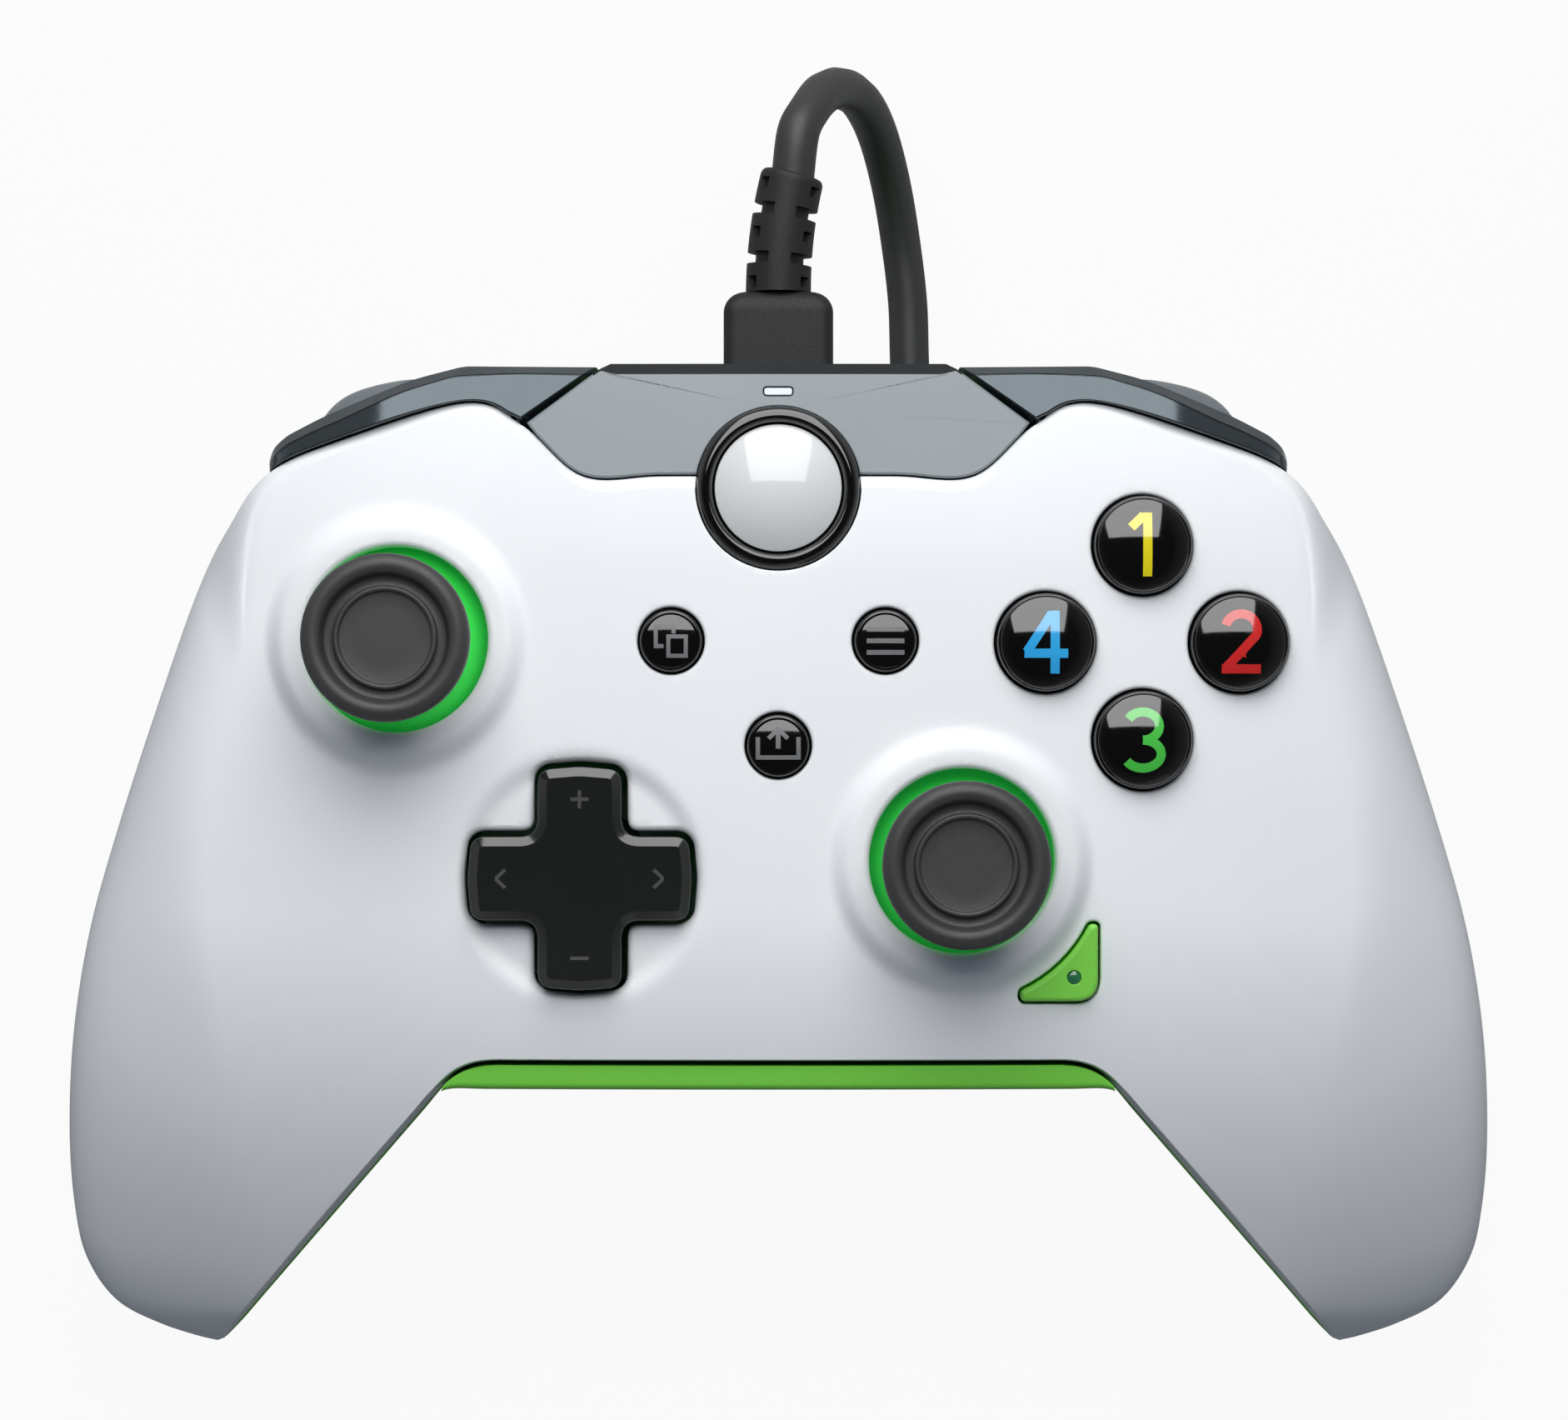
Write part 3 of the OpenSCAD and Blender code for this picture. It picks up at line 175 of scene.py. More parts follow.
def putMesh(name, points, faces, sharp):  # merged and turned outwards
    mesh = bpy.data.meshes.new(name)
    mesh.from_pydata((np.asarray(points).reshape(-1, 3) * mm).tolist(), [], faces)
    bm = bmesh.new()
    bm.from_mesh(mesh)
    bmesh.ops.remove_doubles(bm, verts=bm.verts, dist=2e-6)
    bmesh.ops.dissolve_degenerate(bm, edges=bm.edges, dist=1e-7)
    bmesh.ops.recalc_face_normals(bm, faces=bm.faces)
    bm.to_mesh(mesh)
    bm.free()
    obj = place(name, mesh)
    soften(obj, sharp)
    return obj


def carve(obj, cutters, sharp):  # cuts the closed shapes away one after another
    for cutter in cutters:
        tool = obj.modifiers.new("cut", "BOOLEAN")
        tool.operation = "DIFFERENCE"
        tool.solver = "MANIFOLD"
        tool.object = cutter
        bpy.context.view_layer.update()
        cut = bpy.data.meshes.new_from_object(obj.evaluated_get(bpy.context.evaluated_depsgraph_get()))
        obj.modifiers.clear()
        if len(cut.polygons) > 8:
            obj.data = cut
        else:
            print("cut failed:", obj.name, cutter.name)
        bpy.data.objects.remove(cutter)
    soften(obj, sharp)
    return obj


def joinAll(name, parts, sharp=40):  # several closed shapes as one piece
    points, faces, start = [], [], 0
    for part in parts:
        co = np.zeros(len(part.data.vertices) * 3, np.float32)
        part.data.vertices.foreach_get("co", co)
        points.append(co.reshape(-1, 3) / mm)
        faces += [[v + start for v in f.vertices] for f in part.data.polygons]
        start += len(part.data.vertices)
        bpy.data.objects.remove(part)
    mesh = bpy.data.meshes.new(name)
    mesh.from_pydata((np.vstack(points) * mm).tolist(), [], faces)
    obj = place(name, mesh)
    soften(obj, sharp)
    return obj


def tubeSolid(name, rings, sharp=38):  # rings of points carried along a path, both ends closed flat
    nu, nv = rings.shape[:2]
    faces = gridFaces(nu, nv, wrapV=True)
    faces += [list(range(nv)), [(nu - 1) * nv + j for j in range(nv)]]
    return putMesh(name, rings, faces, sharp)


def gridSolid(name, grid, sharp, wrapV=False):  # closed round the first way of the grid
    return putMesh(name, grid, gridFaces(*grid.shape[:2], True, wrapV), sharp)


def lathe(name, profile, centre, count=96, axis="z", sharp=32):  # (radius, height) rows turned about an axis
    a = np.linspace(0, 2 * np.pi, count, endpoint=False)[:, None]
    r, h = np.asarray(profile, float).T
    flat = np.stack([r * np.cos(a), r * np.sin(a), h + 0 * a], -1)
    if axis == "y":
        flat = flat[..., [0, 2, 1]]
    return gridSolid(name, flat + np.asarray(centre, float), sharp)


def rod(name, r, low, high, centre, count, axis="z"):  # a round pin with flat ends
    return lathe(name, [(0, low), (r, low), (r, high), (0, high)], centre, count, axis)


def capFromOutline(name, outline, edge, surface, centre, rings, sharp=32, last=0.0):
    # a closed outline; edge rows are (inset, level, follow): level is a height, or a rise over surface(x, y)
    # rings run from the last row to a share of its size, then to the centre
    normals = outwards(outline)
    rows = []
    for inset, level, follow in edge:
        p = outline - normals * np.reshape(inset, (-1, 1))
        rows.append(raised(p, surface(*p.T) + level if follow else np.full(len(p), float(level))))
    rim, level = rows[-1][:, :2], edge[-1][1]
    c = np.asarray(centre, float)
    for t in np.append(np.linspace(1, last, rings)[1:], [0] if last else []):
        p = c + (rim - c) * t
        rows.append(raised(p, surface(*p.T) + level))
    rows.insert(0, raised(np.tile(c, (len(outline), 1)), rows[0][:, 2]))
    return gridSolid(name, np.stack(rows, 1), sharp)


mouth = {"turn": 74, "rows": 7, "out": 1.9, "up": 0.3, "above": 6.0}


def holeCutter(outline, surface, depth, lip):  # straight hole with a rounded mouth that follows the surface
    a = np.radians(np.linspace(0, mouth["turn"], mouth["rows"]))
    out = np.concatenate([[0], lip * (1 - np.cos(a)), [lip * mouth["out"]]])
    rise = np.concatenate([[-depth], lip * (np.sin(a) - 1), [lip * mouth["up"]]])
    p = along(outline, outwards(outline), out[None, :])
    rows = raised(p, surface(p[..., 0], p[..., 1]) + rise)
    high = rows[:, -1:].copy()
    high[..., 2] += mouth["above"]
    return tubeSolid("hole", np.concatenate([rows, high], 1).transpose(1, 0, 2))


def boxSolid(name, low, high):  # a rectangle in x and z carried along y
    x0, y0, z0 = low
    x1, y1, z1 = high
    ring = np.array([[x0, z0], [x1, z0], [x1, z1], [x0, z1]])
    return tubeSolid(name, np.stack([upright(ring, y) for y in (y0, y1)]))


def strokeSolid(line, width, low, high, surface, across):  # flat stroke along a line, lying on a surface
    p = np.asarray(line, float)
    d = np.gradient(p, axis=0)
    n = np.stack([-d[:, 1], d[:, 0]], 1) / np.linalg.norm(d, axis=1)[:, None]
    q = along(p, n, np.linspace(-width / 2, width / 2, across)[None, :])
    z = surface(q[..., 0], q[..., 1])
    return tubeSolid("stroke", np.concatenate([raised(q, z + high), raised(q, z + low)[:, ::-1]], 1))


# finishes

def addNode(tree, kind, values=None, links=None, **modes):  # modes first, then socket values and what feeds them
    node = tree.nodes.new("ShaderNode" + kind)
    for mode, value in modes.items():
        setattr(node, mode, value)
    for socket, value in (values or {}).items():
        node.inputs[socket].default_value = value
    for socket, source in (links or {}).items():
        tree.links.new(source, node.inputs[socket])
    return node


def newFinish(name):  # material, its nodes, its shader and the object's own coordinates
    mat = bpy.data.materials.new(name)
    mat.use_nodes = True
    tree = mat.node_tree
    return mat, tree, tree.nodes["Principled BSDF"], addNode(tree, "TexCoord").outputs["Object"]


def noiseOn(tree, vector, scale, detail, rough=0.55):  # scale is lumps for each metre
    return addNode(tree, "TexNoise", {"Scale": scale, "Detail": detail, "Roughness": rough},
                   {"Vector": vector}).outputs["Fac"]


def rangeOf(tree, value, low, high, fromLow=0.3, fromHigh=0.7):  # straight map from one range to another
    return addNode(tree, "MapRange", {"From Min": fromLow, "From Max": fromHigh, "To Min": low, "To Max": high},
                   {"Value": value}).outputs["Result"]


def blendOf(tree, value, first, second):  # from the first colour at 0 to the second at 1
    return addNode(tree, "Mix", {"A": (*first, 1), "B": (*second, 1)}, {"Factor": value},
                   data_type="RGBA").outputs["Result"]


def surfaceOf(tree, shader, tones, rough, fine, strength, depth):  # colour, roughness and relief
    bump = addNode(tree, "Bump", {"Strength": strength, "Distance": depth * mm}, {"Height": fine})
    for socket, source in (("Base Color", tones), ("Roughness", rough), ("Normal", bump.outputs["Normal"])):
        tree.links.new(source, shader.inputs[socket])


def moulded(name, first, second, rough, grain, depth, spread=0.06, coat=0.0, strength=0.4):
    # moulded plastic: two close tones in slow patches, fine erosion grain, roughness that varies a little
    mat, tree, shader, vector = newFinish(name)
    slow = rangeOf(tree, noiseOn(tree, vector, 60, 2), 0, 1)
    fine = noiseOn(tree, vector, 1 / (grain * mm), 4)
    rough = rangeOf(tree, fine, max(0.02, rough - spread), rough + spread)
    surfaceOf(tree, shader, blendOf(tree, slow, first, second), rough, fine, strength, depth)
    shader.inputs["Coat Weight"].default_value = coat
    shader.inputs["Coat Roughness"].default_value = 0.05
    return mat


def brushed(name, first, second, rough, stretch, spread=0.06):  # metal drawn along one direction
    mat, tree, shader, vector = newFinish(name)
    turn = addNode(tree, "Mapping", {"Scale": stretch}, {"Vector": vector})
    streak = noiseOn(tree, turn.outputs["Vector"], 1, 4, 0.5)
    tones = blendOf(tree, rangeOf(tree, streak, 0, 1), first, second)
    surfaceOf(tree, shader, tones, rangeOf(tree, streak, rough - spread, rough + spread), streak, 0.15, 0.01)
    shader.inputs["Metallic"].default_value = 1.0
    return mat


# two tones, roughness, grain and its depth in mm, spread of the roughness, clear coat, strength of the grain
paint = (0.12, 0.5, 0.003, 0.03, 0.8, 0.08)
plastics = {
    "whiteCase": ((0.83, 0.845, 0.86), (0.85, 0.862, 0.875), 0.52, 0.32, 0.03, 0.07, 0, 0.35),
    "greenCase": ((0.16, 0.58, 0.05), (0.175, 0.61, 0.056), 0.42, 0.32, 0.03, 0.07, 0, 0.3),
    "functionGreen": ((0.205, 0.68, 0.068), (0.215, 0.7, 0.072), 0.34, 0.4, 0.008, 0.03, 0, 0.08),
    "skirtGreen": ((0.06, 0.76, 0.1), (0.07, 0.8, 0.11), 0.34, 0.35, 0.015, 0.06, 0, 0.2),
    "greenLens": ((0.02, 0.17, 0.07), (0.024, 0.19, 0.08), 0.1, 0.4, 0.004, 0.03, 0.6, 0.1),
    "signGrey": ((0.15, 0.153, 0.156), (0.17, 0.173, 0.176), 0.4, 0.3, 0.01, 0.06, 0, 0.2),
    "padSign": ((0.05, 0.051, 0.052), (0.06, 0.061, 0.062), 0.4, 0.3, 0.01, 0.06, 0, 0.2),
    # near black, for the painted shade on the bridge's rear bevel
    "bridgeEdge": ((0.018, 0.021, 0.023), (0.021, 0.024, 0.026), 0.5, 0.25, 0.012, 0.05, 0, 0.2),
    "greyCover": ((0.215, 0.243, 0.26), (0.227, 0.255, 0.272), 0.3, 0.25, 0.01, 0.02, 0.1, 0.06),
    "bumperGloss": ((0.022, 0.026, 0.029), (0.026, 0.03, 0.034), 0.12, 0.5, 0.005, 0.03, 0, 0.1),
    "triggerSatin": ((0.125, 0.143, 0.155), (0.138, 0.155, 0.167), 0.34, 0.3, 0.02, 0.06, 0, 0.3),
    "blackGloss": ((0.002, 0.002, 0.0022), (0.003, 0.003, 0.0033), 0.07, 0.6, 0.003, 0.03, 0.6, 0.08),
    "padGloss": ((0.011, 0.012, 0.012), (0.014, 0.015, 0.015), 0.16, 0.4, 0.006, 0.04, 0.3, 0.15),
    "homeSilver": ((0.66, 0.67, 0.67), (0.7, 0.71, 0.71), 0.45, 0.16, 0.012, 0.06, 1, 0.2),
    "stickRubber": ((0.03, 0.03, 0.031), (0.037, 0.037, 0.038), 0.5, 0.28, 0.03, 0.08, 0, 0.45),
    "padRubber": ((0.3, 0.31, 0.32), (0.34, 0.35, 0.36), 0.6, 0.4, 0.02),
    "cordRubber": ((0.019, 0.019, 0.02), (0.024, 0.024, 0.025), 0.5, 0.3, 0.02, 0.08, 0, 0.35),
    "plugRubber": ((0.012, 0.012, 0.0125), (0.016, 0.016, 0.0165), 0.52, 0.22, 0.04, 0.08, 0, 0.5),
    "innerBlack": ((0.02, 0.02, 0.021), (0.026, 0.026, 0.027), 0.45, 0.4, 0.02),
    "board": ((0.015, 0.11, 0.045), (0.02, 0.14, 0.055), 0.35, 1.6, 0.02, 0.05, 0.4),
    "lens": ((0.62, 0.66, 0.68), (0.68, 0.72, 0.74), 0.2, 0.4, 0.01, 0.05, 0.5),
    "markYellow": ((0.72, 0.62, 0.012), (0.78, 0.68, 0.016), *paint),
    "markBlue": ((0.03, 0.36, 0.75), (0.04, 0.42, 0.8), *paint),
    "markRed": ((0.6, 0.022, 0.022), (0.66, 0.03, 0.028), *paint),
    "markGreen": ((0.06, 0.5, 0.06), (0.08, 0.56, 0.075), *paint),
}
finish = {name: moulded(name, *row) for name, row in plastics.items()}
finish["steel"] = brushed("steel", (0.55, 0.56, 0.57), (0.66, 0.67, 0.68), 0.28, (900, 900, 7000))

# lacquers throw back more of the lamp, matt edges less, and the green skirts get a faint painted glow that lights them
# in the shade under the caps
for key, socket, value in (("bumperGloss", "IOR", 1.68), ("bumperGloss", "Specular Tint", (0.78, 0.92, 1, 1)),
                           ("homeSilver", "Coat IOR", 1.5), ("bridgeEdge", "Specular IOR Level", 0.15),
                           ("plugRubber", "Specular IOR Level", 0.25), ("skirtGreen", "Emission Strength", 0.12),
                           ("skirtGreen", "Emission Color", (0.03, 1, 0.13, 1))):
    finish[key].node_tree.nodes["Principled BSDF"].inputs[socket].default_value = value
print("finishes ready:", len(finish))


def dress(obj, key):  # one finish all over
    obj.data.materials.clear()
    obj.data.materials.append(finish[key])


def seat(obj, key, body, slot, *old):  # finish and body of a piece, and the nodes it stands for; slot is not used
    if key:
        dress(obj, key)
    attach(obj, body)
    if old:
        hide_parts(*old)
    return obj


# cord first: lead out of the relief, coil under the case, tail to the far plug
relief = {"long": 12.8, "rBase": 3.5, "rTip": 3.4, "pitch": 2.55, "start": 1.0, "slot": 1.15, "deep": 0.9,
          "bend": 14.0, "wideFrom": 22, "smallFrom": 44, "smallTo": 66, "endPlain": 1.0, "endR": 0.8, "endIn": 0.14,
          "clear": 0.05}
cord = {"d": 4.6, "leave": (0.0, 61.1, 32.75), "turn": 7.0, "coilAt": (-8.0, 14.0), "coilR": 31.0, "pitch": 5.05,
        "turns": 3.0625, "climb": 0.5, "layers": 4, "dip": 0.8, "z": 2.9, "farX": 34.5, "farZ": 4.2, "inPlug": 2.0}
reliefWay = np.array([math.sin(math.radians(cord["turn"])), math.cos(math.radians(cord["turn"])), 0])
cordStart = np.array(cord["leave"]) + reliefWay * relief["long"]


def coilLine(c, perTurn=40):  # spirals in and out, climbs a layer in each half turn between
    each = c["turns"] + c["climb"]
    whole = c["layers"] * each - c["climb"]
    t = np.linspace(0, whole, int(whole * perTurn))
    layer = np.minimum(c["layers"] - 1, np.floor(t / each))
    f = t - layer * each
    s = np.minimum(1, f / c["turns"])
    climb = np.maximum(0, f - c["turns"]) / c["climb"]
    inward = layer % 2 == 0
    r = c["coilR"] - c["pitch"] * c["turns"] * np.where(inward, s, 1 - s)
    r = r + np.where(inward, -1, 1) * c["dip"] * np.sin(np.pi * climb)
    up = np.where(layer < c["layers"] - 1, ease(0, 1, climb), 0)
    x, y = c["coilAt"]
    a = 2 * np.pi * t
    return np.stack([x + r * np.cos(a), y - r * np.sin(a), c["z"] + c["pitch"] * (layer + up)], 1)


coil = coilLine(cord)
z0, farX, farZ = cord["z"], cord["farX"], cord["farZ"]
# sideways and rearwards from the relief's end, then share of the height that is left
leadLoop = np.array([[1.7, 7.2, 0.93], [3.3, 9.7, 0.8], [5.3, 11, 0.63], [7.5, 10.5, 0.45], [9.5, 7.7, 0.27],
                     [11.2, 2.4, 0.12], [12.4, -4, 0.03], [13.2, -10.6, 0.004], [13.4, -16.8, 0], [13.6, -22.8, 0]])
leadLoop = raised(leadLoop[:, :2] + cordStart[:2], mix(z0, cord["leave"][2], leadLoop[:, 2]))
leadRun = [[15.5, 44.5, z0], [16.6, 37.5, z0], [20.2, 30, z0], [22.7, 22, z0], [23, 18.6, z0]]
leadPoints = np.vstack([cordStart, cordStart + reliefWay * cord["d"], leadLoop, leadRun, coil[0]])
tailPoints = [coil[-1], coil[-1] + [4.6, 0, 0], [5, 45.4, 17.2], [12.5, 45.6, 15], [19, 45.4, 12], [25, 44.6, 8.8],
              [30.2, 42.4, 6], [33.4, 39.4, 4.6], [farX, 36.4, farZ], [farX, 34, farZ]]
cordLine = np.vstack([cordStart - reliefWay * cord["inPlug"], smoothLine(leadPoints, 6)[:-1], coil,
                      smoothLine(tailPoints, 6)[1:], [farX, 32.5, farZ]])
curve = bpy.data.curves.new("cord", "CURVE")
curve.dimensions = "3D"
spline = curve.splines.new("POLY")
spline.points.add(len(cordLine) - 1)
spline.points.foreach_set("co", np.column_stack([cordLine * mm, np.ones(len(cordLine))]).ravel())
spline.use_smooth = True
curve.bevel_depth = cord["d"] / 2 * mm
curve.bevel_resolution = 4
curve.use_fill_caps = True
cordPiece = seat(place("cord", curve), "cordRubber", "case", "cord_rubber", "cord_lead", "cord_coil", "cord_tail")
print("cord laid: %.3f m" % (lengths(cordLine)[-1] * mm))


# slotted strain relief: a tapering sleeve along a slightly bent line, less deep where a slot has a window,
# wide and small ones by turns, and drawn in at its end by a quarter circle
def reliefPiece(c):
    s = np.linspace(0, c["long"], 260)
    a = np.linspace(-np.pi, np.pi, 144, endpoint=False)
    turn = np.radians(cord["turn"] + c["bend"] * (s / c["long"] - 0.5))
    slotAt = s + c["start"]
    step = np.gradient(s)
    x, y = np.cumsum(np.sin(turn) * step), np.cumsum(np.cos(turn) * step)
    side = np.stack([np.cos(turn), -np.sin(turn), 0 * s], 1)
    odd = (np.floor(slotAt / c["pitch"]) % 2 == 1)[:, None]
    inSlot = (slotAt % c["pitch"] > c["pitch"] - c["slot"]) & (s < c["long"] - c["endPlain"])
    fromUp = np.degrees(np.abs(np.pi / 2 - np.abs(a)))[None, :]  # 0 at the top and bottom, 90 at the sides
    window = np.where(odd, fromUp > c["wideFrom"], (fromUp > c["smallFrom"]) & (fromUp < c["smallTo"]))
    r = mix(c["rBase"], c["rTip"], s / c["long"])[:, None] - c["deep"] * (inSlot[:, None] & window)
    r = r * (1 - c["endIn"] + c["endIn"] * roll(c["long"] - s, c["endR"]))[:, None]
    ring = side[:, None, :] * np.cos(a)[None, :, None] + np.array([0, 0, 1.0]) * np.sin(a)[None, :, None]
    base = np.stack([x, y + c["clear"], 0 * s], 1) + np.array(cord["leave"])
    return tubeSolid("strainRelief", base[:, None, :] + ring * r[..., None], 30)


reliefObj = seat(reliefPiece(relief), "plugRubber", "case", "cord_rubber", "strain_relief")


# plugs: rounded boxes whose ends draw in
def boxAlongY(name, c, x, z, ys, inset=0.0):  # drawn in by the inset at each y, by a share of it in height
    rows = []
    for y, i in zip(ys, inset + np.zeros(len(ys))):
        w, h = c["w"] - 2 * i, c["h"] - 2 * i * c.get("flat", 1.0)
        ring = evenly(roundedBox(w, h, min(c["corner"], 0.49 * min(w, h))), 96)
        rows.append(upright(ring + [x, z], y))
    return tubeSolid(name, np.stack(rows), 34)


plug = {"w": 11.7, "h": 7.4, "corner": 1.5, "flat": 0.7, "y0": 52.9, "y1": 61.15, "z": 32.75, "endR": 2.3,
        "edge": 0.15}
tongue = {"w": 6.9, "h": 1.9, "corner": 0.5, "ys": (44.2, 53.2)}
a = np.radians(np.linspace(0, 90, 12))
endY, endIn = np.sin(a) - 1, 1 - np.cos(a)  # a quarter round, for a radius of 1
plugYs = np.concatenate([[plug["y0"], plug["y0"] + plug["edge"]], plug["y1"] + plug["endR"] * endY])
plugIn = np.concatenate([[plug["edge"], 0], plug["endR"] * endIn])
plugParts = [boxAlongY("plugBody", plug, 0, plug["z"], plugYs, plugIn),
             boxAlongY("plugTongue", tongue, 0, plug["z"], tongue["ys"])]
plugObj = seat(joinAll("cablePlug", plugParts, 34), "plugRubber", "case", "cord_rubber", "cable_plug")

far = {"w": 15.6, "h": 8.0, "corner": 2.0, "flat": 0.8, "y0": -2.0, "y1": 28.0, "startR": 1.2, "endR": 2.2,
       "neck": [(0, 27.0), (3.4, 27.0), (3.4, 28.0), (3.05, 28.4), (3.05, 29.2), (3.3, 29.4), (3.3, 30.1),
                (2.95, 30.3), (2.95, 31.1), (3.1, 31.3), (3.1, 32.0), (2.75, 32.2), (2.75, 33.0), (2.8, 33.2),
                (2.7, 33.9), (2.3, 34.0), (0, 34.0)]}
farYs = np.concatenate([far["y0"] + far["startR"] * endIn, far["y1"] + far["endR"] * endY])
farIn = np.concatenate([-far["startR"] * endY, far["endR"] * endIn])
farParts = [boxAlongY("farBody", far, farX, farZ, farYs, farIn),
            lathe("farNeck", far["neck"], (farX, 0, farZ), 64, "y")]
farObj = seat(joinAll("farPlug", farParts, 34), "plugRubber", "case", "cord_rubber", "usb_plug")

tin = {"w": 12.0, "h": 4.5, "corner": 0.5, "ys": (-14.0, -13.8, -1.4), "inset": np.array([0.12, 0, 0])}
hollow = {"w": 11.2, "h": 2.2, "corner": 0.2, "drop": 0.75, "ys": (-15.0, -3.0)}
window = {"w": 2.4, "h": 1.0, "corner": 0.1, "x": 2.9, "z": 2.2, "ys": (-8.6, -6.4)}
tinObj = boxAlongY("farShell", tin, farX, farZ, tin["ys"], tin["inset"])
tinCuts = [boxAlongY("hollow", hollow, farX, farZ - hollow["drop"], hollow["ys"])]
tinCuts += [boxAlongY("window", window, farX + s * window["x"], farZ + window["z"], window["ys"]) for s in (-1, 1)]
seat(carve(tinObj, tinCuts, 30), "steel", "case", "steel", "usb_plug_shell")

# strap round one side of the coil
strap = {"w": 6.0, "t": 0.5, "x0": -42.1, "x1": -19.9, "z0": 0.25, "z1": 20.85, "round": 3.2, "edge": 0.15,
         "lap": 0.25, "lapZ": 12.0, "lapR": 3.0}


def strapPiece(c):  # a flat section of (across, out) rows carried round a rounded loop in x and z
    w, h = c["x1"] - c["x0"], c["z1"] - c["z0"]
    loop = evenly(roundedBox(w, h, c["round"], 10), 120) + [(c["x0"] + c["x1"]) / 2, c["z0"] + h / 2]
    n = outwards(loop)
    away = (loop[:, 0] - c["x0"]) ** 2 + (loop[:, 1] - c["lapZ"]) ** 2
    out = (c["t"] / 2 + c["lap"] * np.exp(-away / c["lapR"] ** 2))[:, None]  # thicker where the hook end laps
    half, flat = c["w"] / 2, c["w"] / 2 - c["edge"]
    inside = [(-half, -0.2), (-flat, -0.25), (flat, -0.25), (half, -0.2)]
    outside = [(half, 1), (flat, 1.1), (-flat, 1.1), (-half, 1)]
    y = cord["coilAt"][1]
    grid = [upright(loop + n * o, y + dy) for dy, o in inside]
    grid += [upright(loop + n * (out * o), y + dy) for dy, o in outside]
    return gridSolid("coilStrap", np.stack(grid, 1), 40, True)


strapObj = seat(strapPiece(strap), "innerBlack", "case", "inner_black", "cord_tie")
print("plugs and strap made")

# case: stations run from the middle (0) to a grip tip (18), each joins the rear edge to the front edge
case = {"halfW": 76.3, "rear": 52.6, "tip": -52.6, "front": -20.4, "wall": 2.2, "gap": 0.2, "strip": 2.65, "line": 0.2,
        "face": 48.0, "crown": 0.0009, "gripFrom": -5.0, "gripFall": 0.0072, "rearFrom": 30.0, "rearFall": 0.004,
        "seam": 34.5, "seamRise": 0.03, "seamFall": 0.0036, "belly": 21.5, "over": 4.0, "rest": 0.8,
        "tipStep": 4.5, "tipR": 8.0, "inReach": 0.92}
hw, lastK, frontY = case["halfW"], 18, case["front"]
shellRear = np.array([[0, 40.8], [12, 40.8], [20.3, 40.8], [26.6, 46.1], [32.8, 48.5], [46.4, 44.4], [53.3, 41.3],
                      [hw - 18.5, 36.6], [hw - 14.9, 30], [hw - 10.1, 16.7], [hw - 5.7, 3.3], [hw - 2.7, -7.4],
                      [hw - 0.8, -18.3], [hw, -29], [hw - 0.2, -37.3], [hw - 1.2, -43], [hw - 4.1, -47.8],
                      [hw - 8.9, -50.6], [hw - 14.1, -52.4]])
gripCorner, gripTip = np.array([36, -23.7]), np.array([hw - 15.3, case["tip"]])
alongGrip = gripCorner + (gripTip - gripCorner) * (np.arange(12) / 11)[:, None]
shellFront = np.vstack([[[x, frontY] for x in (0, 10, 17, 22, 26.5)], [30.8, frontY - 0.1], [33.6, -21.5], alongGrip])
backRear = np.vstack([[[x, case["rear"] - 1.2] for x in (0, 12, 20.3, 27)], [33, case["rear"] - 2], [44, 46.4],
                      [52, 42.6], shellRear[7:]])
push = np.where(np.arange(7, 19) < lastK, case["line"], 0)[:, None] * [-0.75, -0.66]  # a thin line along the grips
backFront = np.vstack([shellFront[:5] - [0, case["strip"]], [[x, frontY - case["strip"]] for x in (30.6, 34.2)],
                       shellFront[7:] + push])
stickAt = [(-39.7, 23.8), (19.05, 0.8)]
dpadAt = (-20.5, -0.9)
collar = {"hole": 9.65, "flat": 11.6, "end": 13.9, "high": 1.3}
dish = {"r0": 11.0, "r1": 13.4, "deep": 0.8}


def edgeAt(points, k):  # a point of an edge at station k, mirrored for the left half
    p = np.vstack([[[-points[1, 0], points[1, 1]]], points, points[-1:]])
    t = np.abs(k)
    i = np.minimum(np.floor(t).astype(int), len(points) - 2)
    q = between(*(p[i + j] for j in range(4)), (t - i)[..., None])
    return np.stack([np.where(k < 0, -q[..., 0], q[..., 0]), q[..., 1]], -1)


def plainFace(x, y):  # crowned across, falls off over the grips and the rear edge
    fall = case["gripFall"] * np.maximum(0, case["gripFrom"] - y) ** 2
    return case["face"] - case["crown"] * x ** 2 - fall - case["rearFall"] * np.maximum(0, y - case["rearFrom"]) ** 2


def faceTop(x, y):  # with raised collars round the sticks and a shallow dish round the pad
    z = plainFace(x, y)
    for sx, sy in stickAt:
        z = z + collar["high"] * (1 - ease(collar["flat"], collar["end"], np.hypot(x - sx, y - sy)))
    r = np.hypot(x - dpadAt[0], y - dpadAt[1])
    return z - dish["deep"] * (1 - ease(dish["r0"], dish["r1"], r))


def seamAt(y):  # where the halves meet: rises evenly to the rear, drops by the square of y over the grips
    return case["seam"] + case["seamRise"] * y - case["seamFall"] * np.minimum(y, 0) ** 2


def tipRoll(k):  # quarter circle that closes a grip's tip
    return roll((lastK - np.abs(k)) * case["tipStep"], case["tipR"])


def evenStations(rear, front, count):  # stations at even steps along the middle of the case
    k = np.linspace(0, lastK, 2001)
    q = edgeAt(rear, k)
    p = mix(q, edgeAt(front, k), 0.4)
    steps = [np.linalg.norm(np.diff(line, axis=0), axis=1) for line in (p, q)]
    s = np.concatenate([[0], np.cumsum(np.maximum(steps[0], 0.5 * steps[1]))])
    half = np.interp(np.linspace(0, s[-1], count), s, k)
    return np.concatenate([-half[:0:-1], half])


